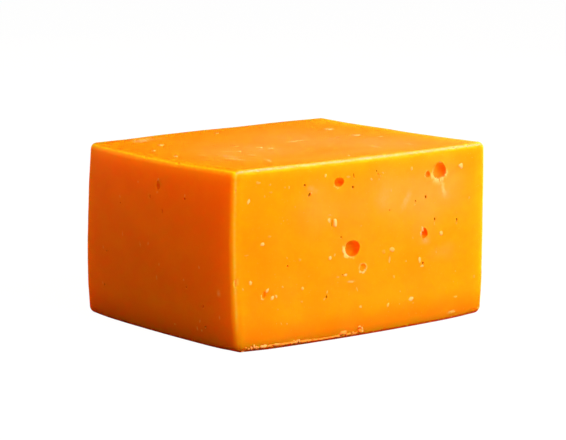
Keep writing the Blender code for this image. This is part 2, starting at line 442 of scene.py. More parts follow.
@dataclass(frozen=True)
class Eye:
    """A gas hole opened by the cut. Sizes are in millimetres, and lean is in degrees.

    sweep is how far round its ball the wall goes from the deepest point, in degrees, over 90 where
    the wall is undercut. lip raises the rim. pale_way is the side of the rim that is pale, torn curd
    with a painted highlight where the rim faces the light, in degrees from the viewer's right towards
    the top, and pale_width is how much of it. hollow is how strong the painted shade on its wall is,
    dark how strong the darker painted shade in its bottom, and lift how strong the painted glow
    under its roof, where the eye shades itself, each from 0 to 1.

    The class's own values hold for every eye, as shares of its size. Those called levels are a
    base, what an uneven field adds, and what the pale side adds. Those called edges say where a
    mark begins and where it is full.
    """

    face: Face
    along: float
    up: float
    width: float
    height: float
    depth: float
    lean: float = 0
    taper: float = 0
    lobes: int = 0
    sweep: float = 99
    lip: float = 0.07
    pale_way: float = -115
    pale_width: float = 75
    pale: float = 0.7
    dark: float = 0
    hollow_shade: float = 1
    lift: float = 0.4

    lobe_depth: ClassVar[float] = 0.045
    lobe_turn: ClassVar[float] = 0.6
    lip_width: ClassVar[float] = 0.2
    lip_levels: ClassVar[tuple[float, float, float]] = (0.55, 0.25, 0.6)
    reach_share: ClassVar[float] = 1.75
    search_share: ClassVar[float] = 1.3
    taper_limit: ClassVar[float] = 1.2
    least_share: ClassVar[float] = 1e-6
    unevenness: ClassVar[float] = 0.035
    floor_unevenness: ClassVar[float] = 0.05
    uneven_waves: ClassVar[float] = 1.6
    ragged_waves: ClassVar[float] = 0.55
    wall_edges: ClassVar[Span] = (0.0, 0.3)
    pit_shade_edges: ClassVar[Span] = (0.0, 0.45)
    glow_edges: ClassVar[Span] = (0.05, 0.4)
    roof_edges: ClassVar[Span] = (-0.3, 0.8)
    inner_edges: ClassVar[Span] = (0.62, 0.9)
    ring_edges: ClassVar[Span] = (0.7, 0.98)
    ring_raggedness: ClassVar[float] = 0.1
    ring_levels: ClassVar[tuple[float, float, float]] = (1.22, 0.14, 0.12)
    ring_fade: ClassVar[float] = 0.4
    far_side: ClassVar[float] = 0.08
    pale_levels: ClassVar[Span] = (0.9, 0.35)
    grain_steps: ClassVar[float] = 14
    grain_limits: ClassVar[Span] = (0.09, 0.2)

    @property
    def reach(self) -> float:
        """Radius of the area that the eye changes."""
        return max(self.width, self.height) / 2 * self.reach_share * MM

    @property
    def grain(self) -> float:
        """Edge length that the mesh needs here."""
        step = math.sqrt(self.width * self.height) / self.grain_steps
        return float(np.clip(step, *self.grain_limits)) * MM

    def pulled(self, share: np.ndarray) -> np.ndarray:
        """How far the wall's points are drawn in or out, by their share of the way to the rim.

        Args:
            share: Each point's share of the way from the middle to the rim.

        Returns:
            What each point's place across the eye is multiplied by.
        """
        sweep = math.radians(self.sweep)
        within = np.clip(share, self.least_share, 1)
        return np.where(share < 1, np.sin(within * sweep) / math.sin(sweep) / within, 1)

    def sunk(self, share: np.ndarray) -> np.ndarray:
        """How deep the wall lies there: 1 at the bottom, and 0 from the rim on.

        Args:
            share: Each point's share of the way from the middle to the rim.

        Returns:
            Each point's share of the eye's depth.
        """
        sweep = math.radians(self.sweep)
        around = np.clip(share, self.least_share, 1) * sweep
        return np.where(share < 1, (np.cos(around) - math.cos(sweep)) / (1 - math.cos(sweep)), 0)

    def pale_side(self, turn: np.ndarray) -> np.ndarray:
        """How near each direction round the eye is to the side of its rim that is pale, where torn curd
        carries a painted highlight.
        """
        gap = np.angle(np.exp(1j * (turn - math.radians(self.pale_way))))
        return np.exp(-((gap / math.radians(self.pale_width)) ** 2))

    def press(self, skin: Skin, form: BlockForm, seed: int) -> None:
        """Sinks the eye into the skin, with its lip, and marks the painted shade on its wall and in its
        bottom, the painted glow under its roof, and its pale rim with a painted highlight on its lit
        side.

        Args:
            skin: The points to move and mark.
            form: The block's form, for the frame on its face.
            seed: Seed of the eye's own unevenness.
        """
        frame = form.frame(self.face, self.along * MM, self.up * MM).leant(math.radians(self.lean))
        chosen = skin.near(frame.origin, self.reach * self.search_share)
        parts = frame.local(skin.points[chosen])
        high = parts[:, 2] / (self.height * MM / 2)
        narrow = 1 - self.taper * np.clip(high, -self.taper_limit, self.taper_limit)
        wide = parts[:, 0] / (self.width * MM / 2 * narrow)
        turn = np.arctan2(high, wide)
        lobes = self.lobe_depth * np.cos(self.lobes * turn + self.lobe_turn) * (self.lobes > 0)
        flat = np.stack([wide, high, 0 * wide], axis=1)
        uneven = Waves(seed, self.uneven_waves).at(flat)
        share = np.hypot(wide, high) / ((1 + lobes) * (1 + self.unevenness * uneven))
        pulled, sunk, pale_side = self.pulled(share), self.sunk(share), self.pale_side(turn)
        rim = np.exp(-(((share - 1) / self.lip_width) ** 2))
        base, rough, bias = self.lip_levels
        parts[:, 0] *= pulled
        parts[:, 2] *= pulled
        parts[:, 1] += self.depth * MM * sunk * (1 + self.floor_unevenness * uneven)
        parts[:, 1] -= self.lip * MM * rim * (base + rough * uneven + bias * pale_side)
        skin.points[chosen] = frame.world(parts)
        # The lit side of the inner wall is spared the painted shade.
        inner = self.pale * pale_side * smooth_step(*self.inner_edges, share)
        wall = smooth_step(*self.wall_edges, sunk) * (1 - inner)
        # Painted shade on the wall, where the eye shades itself.
        skin.mark(CAVITY, chosen, wall * (1 - self.dark) * self.hollow_shade)
        # Darker painted shade in the bottom.
        skin.mark(DARK, chosen, smooth_step(*self.pit_shade_edges, sunk) * self.dark)
        # Painted glow under the roof, where the eye shades itself.
        roof = smooth_step(*self.roof_edges, high)
        skin.mark(RIM, chosen, self.lift * smooth_step(*self.glow_edges, sunk) * roof)
        # Pale torn curd round the rim, and a painted highlight on its pale side.
        ragged = Waves(seed + 1, self.ragged_waves).at(flat)
        ring = self.ring(share, ragged, pale_side)
        side = self.far_side + (1 - self.far_side) * pale_side
        base, rough = self.pale_levels
        skin.mark(PALE, chosen, self.pale * ring * side * (base + rough * ragged))

    def ring(self, share: np.ndarray, ragged: np.ndarray, pale_side: np.ndarray) -> np.ndarray:
        """The ragged ring of torn curd round the eye.

        Args:
            share: Each point's share of the way from the middle to the rim.
            ragged: The uneven field that tears the ring.
            pale_side: How near each point is to the pale side, where the ring is wider.

        Returns:
            1 in the ring and 0 outside it.
        """
        base, rough, bias = self.ring_levels
        outer = base + rough * ragged + bias * pale_side
        begun = smooth_step(*self.ring_edges, share + self.ring_raggedness * ragged)
        return begun * (1 - smooth_step(0.0, self.ring_fade, share - outer + self.ring_fade / 2))


# How deep a pit is, as a share of its smaller side.
PIT_DEPTH = 0.9


def pit(
    face: Face, along: float, up: float, width: float, height: float, lean: float = 0, dark: float = 0.9
) -> Eye:
    """A small pit, nearly as deep as it is wide, with painted shade in its bottom.

    Args:
        face: The face it is in.
        along: Its place along the face, in millimetres.
        up: Its place up the face, in millimetres.
        width: Its width in millimetres.
        height: Its height in millimetres.
        lean: How far its top leans to the viewer's right, in degrees.
        dark: How strong the painted shade in its bottom is, from 0 to 1.

    Returns:
        The pit, as an eye with steep walls and hardly a lip.
    """
    depth = min(width, height) * PIT_DEPTH
    look = {"sweep": 88, "lip": 0.025, "pale": 0.35, "dark": dark, "lift": 0}
    return Eye(face, along, up, width, height, depth, lean, **look)


# The eyes of the solid, in its order.
EYES = (
    Eye(FRONT, -6.6, 27.9, 5.9, 5.1, 3.0, lean=12, taper=-0.14, pale_way=-138, pale_width=58, pale=0.9),
    Eye(FRONT, -11.9, 49.2, 3.5, 2.9, 2.1, pale_way=-108, pale_width=70, pale=0.45, lift=0.9),
    Eye(FRONT, 29.4, 49.0, 5.6, 5.5, 2.9, lean=8, taper=0.16, lobes=3, pale_way=-100,
        pale=0.8, hollow_shade=0.7, lift=0.7),
    Eye(FRONT, 24.1, 48.3, 2.0, 2.3, 1.1, taper=0.25, pale_way=165, pale=0.5, hollow_shade=0.8, lift=0.6),
    Eye(FRONT, 22.9, 29.6, 2.6, 3.5, 1.7, lean=-10, taper=0.35, pale_way=145, pale_width=55, pale=1),
    Eye(FRONT, -2.5, 21.5, 2.6, 2.6, 0.9, lean=20, sweep=78, pale_way=-60, pale_width=150,
        pale=0.8, hollow_shade=0.1, lift=0.3),
    Eye(FRONT, -39.6, 17.1, 1.4, 2.4, 0.7, lean=14, sweep=80, pale_way=-125, pale=0.9, hollow_shade=0.5),
    Eye(FRONT, -3.9, 1.75, 2.1, 1.9, 0.9, sweep=80, pale_way=10, pale_width=75, pale=0.5, hollow_shade=0.0),
    Eye(LEFT, -0.9, 47.3, 2.1, 3.0, 1.4, taper=0.2, pale_way=90, pale_width=50, pale=0.7),
    Eye(LEFT, 3.4, 43.3, 0.9, 1.5, 0.5, lean=-10, sweep=80, pale=0.4),
    Eye(LEFT, -23.8, 12.4, 1.1, 1.3, 0.5, sweep=80, pale_way=-60, pale=0.4),
    Eye(BACK, 31.0, 38.5, 3.6, 3.3, 2.1, lean=15, taper=0.1),
    Eye(BACK, 12.5, 18.0, 2.6, 2.9, 1.6, lean=-20),
    Eye(BACK, -9.0, 44.0, 1.7, 1.8, 0.9),
    Eye(BACK, -27.5, 29.5, 3.9, 3.5, 2.2, lean=8, taper=-0.1, lobes=5),
    Eye(BACK, -35.0, 10.5, 1.5, 1.8, 0.8, lean=25),
    Eye(BACK, 40.0, 12.0, 1.3, 1.3, 0.6, sweep=80),
    Eye(RIGHT, -21.7, 41.0, 2.6, 2.4, 1.5, lean=-15),
    Eye(RIGHT, 6.8, 22.5, 3.5, 3.2, 2.0, lean=12, taper=0.12),
    Eye(RIGHT, 24.3, 45.0, 1.6, 1.9, 0.9),
    Eye(RIGHT, -8.7, 8.0, 1.4, 1.2, 0.6, sweep=80),
    Eye(RIGHT, 29.3, 12.5, 2.1, 2.3, 1.1, lean=-22, taper=0.2),
)

# Pits too small for the solid: pinholes and short slits.
PITS = (
    pit(FRONT, -24.7, 49.5, 0.9, 0.8),
    pit(FRONT, -23.0, 46.4, 0.8, 1.4, lean=30),
    pit(FRONT, -6.5, 47.2, 0.9, 0.9),
    pit(FRONT, -6.2, 50.8, 0.5, 1.7, lean=-12, dark=0.6),
    pit(FRONT, 2.8, 51.4, 0.5, 0.7),
    pit(FRONT, 23.4, 41.1, 0.8, 1.1),
    pit(FRONT, 19.0, 40.3, 0.6, 0.8),
    pit(FRONT, 27.3, 33.6, 0.7, 1.1),
    pit(FRONT, 37.2, 32.3, 0.8, 1.1),
    pit(FRONT, 29.3, 45.9, 0.45, 1.2, dark=0.4),
    pit(FRONT, 22.4, 20.0, 0.8, 0.8),
    pit(FRONT, -16.7, 14.0, 0.7, 1.0, lean=15),
    pit(FRONT, -14.5, 36.8, 0.45, 3.0, lean=3, dark=0.7),
    pit(FRONT, -11.0, 32.0, 0.6, 0.9, dark=0.6),
    pit(FRONT, -10.6, 20.2, 0.5, 0.5, dark=0.7),
    pit(FRONT, -31.0, 25.2, 0.7, 0.9, dark=0.2),
    pit(FRONT, 3.4, 50.4, 0.5, 0.6, dark=0.5),
    pit(FRONT, 8.1, 38.5, 0.6, 0.6, dark=0.3),
    pit(LEFT, -15.1, 44.7, 0.9, 0.7, dark=0),
    pit(LEFT, 20.4, 39.1, 0.6, 0.5, dark=0),
    pit(LEFT, -3.4, 39.4, 0.4, 1.7, dark=0),
    pit(LEFT, -15.8, 17.3, 0.9, 0.9, dark=0),
    pit(LEFT, 28.9, 22.3, 0.6, 0.6, dark=0),
    pit(LEFT, 30.1, 11.1, 0.6, 0.7, dark=0),
    pit(LEFT, -24.6, 6.1, 0.8, 0.9, dark=0),
    pit(TOP, 18.2, -23.0, 0.8, 0.7, dark=0.3),
    pit(TOP, -20.0, 11.3, 0.7, 0.7, dark=0.3),
    pit(TOP, 30.4, 23.6, 0.9, 0.7, dark=0.3),
    pit(BACK, 20.0, 47.5, 0.7, 0.9),
    pit(BACK, 3.0, 31.0, 0.8, 0.8),
    pit(BACK, -16.5, 14.0, 0.6, 1.1, lean=20),
    pit(BACK, -38.0, 46.0, 0.9, 0.8),
    pit(BACK, 36.5, 25.5, 0.6, 0.7),
    pit(BACK, 24.5, 7.5, 0.8, 0.9),
    pit(RIGHT, -30.7, 22.0, 0.7, 0.9),
    pit(RIGHT, -3.7, 48.5, 0.8, 0.7),
    pit(RIGHT, 15.8, 34.5, 0.6, 1.2, lean=-15),
    pit(RIGHT, 33.3, 30.0, 0.8, 0.8),
    pit(RIGHT, -19.2, 12.0, 0.6, 0.8),
)


@dataclass(frozen=True)
class Chip:
    """A flake broken out of the skin: an uneven ball, given by its frame and its half sizes."""

    frame: SkinFrame
    size: tuple[float, float, float]
    grain: float
    pale: float = 0.8

    unevenness: ClassVar[float] = 0.14
    waves: ClassVar[float] = 1.5
    reach_share: ClassVar[float] = 1.25
    pale_edges: ClassVar[Span] = (0.0, 0.5)

    @property
    def reach(self) -> float:
        """Radius of the area that the chip changes."""
        return max(self.size) * self.reach_share

    def press(self, skin: Skin, seed: int) -> None:
        """Pushes the skin that lies in the ball on to the ball's far side.

        Args:
            skin: The points to move and mark.
            seed: Seed of the chip's own unevenness.
        """
        chosen = skin.near(self.frame.origin, self.reach)
        parts = self.frame.local(skin.points[chosen]) / self.size
        uneven = 1 + self.unevenness * Waves(seed, self.waves).at(parts)
        parts /= uneven[:, None]
        flat = parts[:, 0] ** 2 + parts[:, 2] ** 2
        bottom = np.sqrt(np.clip(1 - flat, 0, None))
        pushed = (flat < 1) & (parts[:, 1] < bottom) & (parts[:, 1] > -1)
        parts[:, 1] = np.where(pushed, bottom, parts[:, 1])
        parts *= uneven[:, None]
        skin.points[chosen] = self.frame.world(parts * self.size)
        skin.mark(PALE, chosen, self.pale * pushed * smooth_step(*self.pale_edges, bottom))


@dataclass(frozen=True)
class ChipRow:
    """A row of crumbs broken from the lower front edge. Places and sizes are in millimetres."""

    start: float
    end: float
    count: int
    smallest: float
    largest: float


@dataclass(frozen=True)
class EdgeFlake:
    """A single flake lost from an edge: its place in the unit cube, and its half sizes in mm."""

    place: tuple[float, float, float]
    size: tuple[float, float, float]


@dataclass(frozen=True)
class Nicks:
    """The chips that the edges have lost: those of the solid, and finer nicks between them.

    fine_edges gives, for each edge, the two fixed parts of its places and how many nicks it has.
    """

    form: BlockForm
    rows: tuple[ChipRow, ...] = (
        ChipRow(-42.5, -23.5, 9, 0.7, 1.25),
        ChipRow(-13.0, -5.0, 4, 0.6, 1.0),
    )
    flakes: tuple[EdgeFlake, ...] = (
        EdgeFlake((-1.0, -1.0, -0.23), (1.3, 0.45, 0.45)),
        EdgeFlake((0.70, -1.0, 1.0), (1.1, 0.54, 0.54)),
        EdgeFlake((0.83, -1.0, 1.0), (0.7, 0.54, 0.54)),
        EdgeFlake((0.97, -1.0, -0.93), (0.8, 0.7, 0.6)),
        EdgeFlake((-1.0, 0.45, -1.0), (1.3, 0.5, 0.5)),
        EdgeFlake((0.30, 1.0, -1.0), (1.6, 0.54, 0.54)),
        EdgeFlake((1.0, 0.20, 1.0), (1.2, 0.5, 0.5)),
    )
    fine_edges: tuple[tuple[tuple[int, int, int], int], ...] = (
        ((0, -1, 1), 11),
        ((-1, -1, 0), 1),
        ((-1, 0, 1), 2),
        ((0, -1, -1), 7),
        ((-1, 0, -1), 6),
        ((1, -1, 0), 3),
        ((1, 0, 1), 5),
        ((0, 1, 1), 6),
        ((1, 1, 0), 3),
        ((-1, 1, 0), 3),
        ((0, 1, -1), 6),
        ((1, 0, -1), 5),
    )
    row_seed: int = 7
    row_height: Span = (0.8 * MM, 1.25 * MM)
    row_place: Span = (0.2, 0.8)
    row_pale: float = 0.6
    depth_share: float = 0.5
    height_share: Span = (0.35, 0.55)
    tilt: float = 0.4
    fine_seed: int = 19
    fine_place: Span = (0.05, 0.95)
    fine_span: float = 0.95
    fine_size: Span = (0.22 * MM, 0.55 * MM)
    fine_length: Span = (1.0, 2.6)
    fine_depth: float = 0.7
    fine_pale: float = 0.45
    grain: float = 0.15 * MM
    fine_grain: float = 0.2 * MM

    def row_chips(self) -> list[Chip]:
        """The crumbs broken from the lower front edge, as the solid has them.

        Returns:
            The chips.
        """
        draw = random.Random(self.row_seed)
        chips = []
        for row in self.rows:
            for number in range(row.count):
                share = (number + draw.uniform(*self.row_place)) / row.count
                along = (row.start + (row.end - row.start) * share) * MM
                width = draw.uniform(row.smallest, row.largest) * MM
                height = width * draw.uniform(*self.height_share)
                tilt = draw.uniform(-self.tilt, self.tilt)
                frame = self.form.frame(FRONT, along, draw.uniform(*self.row_height))
                size = (width, width * self.depth_share, height)
                chips.append(Chip(frame.leant(tilt), size, self.grain, self.row_pale))
        return chips

    def flake_chips(self) -> list[Chip]:
        """The single flakes lost from the other edges, as the solid has them.

        Returns:
            The chips.
        """
        chips = []
        for flake in self.flakes:
            size = tuple(part * MM for part in flake.size)
            chips.append(Chip(self.form.edge_frame(flake.place), size, self.grain))
        return chips

    def fine_chips(self) -> list[Chip]:
        """Nicks too fine for the solid, strewn along the edges.

        Returns:
            The chips.
        """
        draw = random.Random(self.fine_seed)
        chips = []
        for fixed, count in self.fine_edges:
            for number in range(count):
                share = (number + draw.uniform(*self.fine_place)) / count
                run = share * 2 * self.fine_span - self.fine_span
                place = tuple(part if part else run for part in fixed)
                size = draw.uniform(*self.fine_size)
                shape = (size * draw.uniform(*self.fine_length), size * self.fine_depth, size)
                frame = self.form.edge_frame(place)
                chips.append(Chip(frame, shape, self.fine_grain, self.fine_pale))
        return chips

    def all(self) -> list[Chip]:
        """Every chip, the large ones first."""
        return self.row_chips() + self.flake_chips() + self.fine_chips()


@dataclass(frozen=True)
class Smear:
    """A soft patch of one mark. Sizes are in millimetres, and lean is in degrees."""

    face: Face
    along: float
    up: float
    width: float
    height: float
    lean: float = 0
    strength: float = 0.6
    mark: Mark = RUB

    least_grain: ClassVar[float] = 0.25
    grain_steps: ClassVar[float] = 4
    search_share: ClassVar[float] = 1.2
    raggedness: ClassVar[float] = 0.25

    @property
    def grain(self) -> float:
        """Edge length that the mesh needs here."""
        return max(self.least_grain, min(self.width, self.height) / self.grain_steps) * MM

    def press(self, skin: Skin, form: BlockForm, seed: int) -> None:
        """Marks the patch on the skin.

        Args:
            skin: The points to mark.
            form: The block's form, for the frame on its face.
            seed: Seed of the patch's ragged outline.
        """
        frame = form.frame(self.face, self.along * MM, self.up * MM).leant(math.radians(self.lean))
        chosen = skin.near(frame.origin, max(self.width, self.height) * MM * self.search_share)
        parts = frame.local(skin.points[chosen]) / MM
        level = np.hypot(parts[:, 0] / self.width * 2, parts[:, 2] / self.height * 2)
        level += self.raggedness * Waves(seed, min(self.width, self.height)).at(parts)
        skin.mark(self.mark, chosen, self.strength * np.exp(-np.clip(level, 0, None) ** 2))


def graze(
    along: float, up: float, width: float, height: float, lean: float = 0, strength: float = 0.71
) -> Smear:
    """A short scuff of the left side.

    Args:
        along: Its place along the side, in millimetres.
        up: Its place up the side, in millimetres.
        width: Its width in millimetres.
        height: Its height in millimetres.
        lean: How far its top leans to the viewer's right, in degrees.
        strength: How plain it is, from 0 to 1.

    Returns:
        The scuff.
    """
    return Smear(LEFT, along, up, width, height, lean, strength, GRAZE)


# The patches that the skin shows: painted sheen on the front and the top, painted shade down the
# left of both, streaks and pale curd on the front, scuffs on the left side, and marks on the top.
SMEARS = (
    # Painted sheen over the upper front.
    Smear(FRONT, 25.5, 42.0, 25, 17, lean=-8, strength=0.7, mark=HAZE),
    Smear(FRONT, 24.5, 35.0, 21, 13, strength=0.35, mark=HAZE),
    # Painted shade down the left of the front.
    Smear(FRONT, -44.0, 27.0, 20, 58, strength=0.2, mark=CAVITY),
    Smear(FRONT, 9.5, 43.0, 24, 17, strength=0.48, mark=HAZE),
    Smear(FRONT, -5.0, 41.0, 22, 15, strength=0.25, mark=HAZE),
    Smear(FRONT, -19.0, 42.0, 17, 15, strength=0.35, mark=HAZE),
    Smear(FRONT, 31.0, 22.5, 10, 5, strength=0.4, mark=HAZE),
    Smear(FRONT, 15.2, 41.1, 3.0, 8.5, lean=32, strength=0.6),
    Smear(FRONT, 31.0, 43.3, 1.6, 7.0, lean=-16, strength=0.6, mark=PALE),
    Smear(FRONT, 5.5, 42.1, 7, 8, lean=30, strength=0.4),
    Smear(FRONT, 31.2, 41.3, 7, 6, strength=0.35),
    Smear(FRONT, -22.0, 48.0, 3.5, 2.5, lean=30, strength=0.5),
    Smear(FRONT, 23.2, 27.1, 4.5, 3.0, strength=0.55),
    Smear(FRONT, 34.8, 2.4, 4.2, 1.0, lean=-6, strength=0.7),
    Smear(FRONT, -7.2, 17.7, 4.0, 0.9, lean=4, strength=0.7),
    Smear(FRONT, 28.2, 45.7, 3.6, 2.6, lean=10, strength=0.6, mark=PALE),
    Smear(FRONT, 32.3, 48.3, 1.6, 2.6, strength=0.5, mark=PALE),
    Smear(FRONT, -48.4, 22.0, 1.3, 2.4, lean=5, strength=0.5, mark=PALE),
    graze(19.0, 29.3, 0.75, 1.88),
    graze(30.7, 23.3, 0.75, 1.38, strength=0.6),
    graze(8.6, 27.3, 0.75, 1.88, lean=-22),
    graze(4.1, 28.2, 0.88, 1.12, lean=30),
    graze(-1.8, 22.4, 0.75, 1.25),
    graze(-22.5, 24.4, 1.0, 1.25, strength=0.6),
    graze(-0.3, 18.0, 0.75, 1.62),
    graze(-14.6, 19.4, 0.88, 0.75, strength=0.65),
    graze(31.4, 11.5, 0.75, 1.12, strength=0.65),
    graze(-22.0, 7.6, 0.75, 1.38, lean=25),
    graze(-20.5, 5.0, 0.75, 1.38, lean=-15),
    graze(-22.7, 4.7, 0.75, 0.88),
    graze(-31.7, 10.2, 0.75, 1.5, strength=0.7),
    graze(10.4, 46.9, 1.12, 0.75, strength=0.7),
    graze(-15.1, 45.7, 0.75, 1.0, strength=0.7),
    graze(-0.9, 48.4, 1.12, 1.62),
    graze(-0.6, 45.0, 1.25, 0.88, strength=0.65),
    graze(20.8, 41.1, 1.12, 0.75, strength=0.6),
    graze(-31.6, 17.7, 2.12, 2.0),
    graze(-9.2, 4.5, 1.25, 0.75, strength=0.6),
    # Painted shade along the left of the top.
    Smear(TOP, -46.0, 14.0, 12, 62, strength=0.3, mark=CAVITY),
    Smear(TOP, -32.5, 34.2, 5.5, 4.6, lean=-20, strength=0.9),
    Smear(TOP, -24.4, 34.3, 5.0, 2.6, strength=0.5),
    Smear(TOP, -29.9, 35.8, 5.5, 10.0, lean=98, strength=0.5, mark=PALE),
    Smear(TOP, -24.7, -3.2, 2.4, 7.5, lean=140, strength=0.55, mark=PALE),
    Smear(TOP, -22.1, -5.3, 2.2, 1.6, lean=146, strength=1.0, mark=PALE),
    Smear(TOP, -24.1, -14.6, 1.8, 3.6, lean=170, strength=0.8, mark=PALE),
    Smear(TOP, -11.6, -2.4, 2.8, 2.8, lean=133, strength=0.9, mark=PALE),
    Smear(TOP, -14.4, -6.2, 2.2, 2.6, lean=131, strength=0.6, mark=PALE),
    Smear(TOP, -9.8, -5.7, 2.6, 1.8, lean=111, strength=1.0, mark=PALE),
    Smear(TOP, -33.6, -19.2, 2.4, 12.0, lean=169, strength=0.6, mark=PALE),
    Smear(TOP, -30.0, -13.0, 1.9, 9.0, lean=160, strength=0.45, mark=PALE),
    Smear(TOP, -27.7, -27.7, 1.8, 9.0, lean=-156, strength=0.65, mark=PALE),
    Smear(TOP, -35.2, -3.5, 3.6, 5.5, lean=132, strength=0.4, mark=PALE),
    Smear(TOP, -41.8, -13.6, 2.2, 2.8, lean=137, strength=0.4, mark=PALE),
    Smear(TOP, 33.0, 17.8, 4.6, 3.0, lean=139, strength=1.0, mark=PALE),
    Smear(TOP, 30.4, 0.3, 3.4, 3.8, lean=174, strength=0.9, mark=PALE),
    Smear(TOP, 34.0, -7.8, 2.8, 1.6, strength=0.7, mark=PALE),
    Smear(TOP, 5.8, 2.1, 1.9, 8.6, lean=81, strength=0.9, mark=PALE),
    Smear(TOP, 29.4, -28.2, 1.6, 6.0, lean=-176, strength=0.6, mark=PALE),
    Smear(TOP, 16.9, -25.6, 2.2, 8.5, lean=-168, strength=0.7, mark=PALE),
    Smear(TOP, 32.3, 16.9, 3.6, 2.4, strength=1.0),
    Smear(TOP, 29.6, -1.0, 3.0, 2.2, strength=0.9),
    Smear(TOP, 23.1, 1.3, 1.6, 1.6, strength=0.7),
    Smear(TOP, -31.1, -11.8, 5.0, 14.0, lean=10, strength=0.6),
    # Painted sheen over the top.
    Smear(TOP, 13.0, -2.0, 44, 52, strength=0.75, mark=HAZE),
    Smear(TOP, 22.0, -18.0, 27, 28, strength=0.95, mark=HAZE),
    Smear(TOP, 6.0, -32.0, 72, 13, strength=0.55, mark=HAZE),
    # Painted shade on the left of the top.
    Smear(TOP, -36.0, 16.0, 26, 50, strength=0.14, mark=CAVITY),
    Smear(TOP, -12.0, -8.0, 40, 44, strength=0.75, mark=HAZE),
    Smear(TOP, -26.0, -4.0, 20, 34, strength=0.5, mark=HAZE),
)


@dataclass(frozen=True)
class EdgeGlow:
    """A painted glow along an edge, wide and yellow, standing in for light through the thin cheese
    there, with a painted highlight on its crest.

    signs says which edge: the two faces that meet there have a sign, and the axis along it has 0.
    reach is how fast the glow fades in from each of those faces over the other, in millimetres.
    """

    signs: tuple[int, int, int]
    strength: float
    reach: tuple[float, float, float]
    crest: float


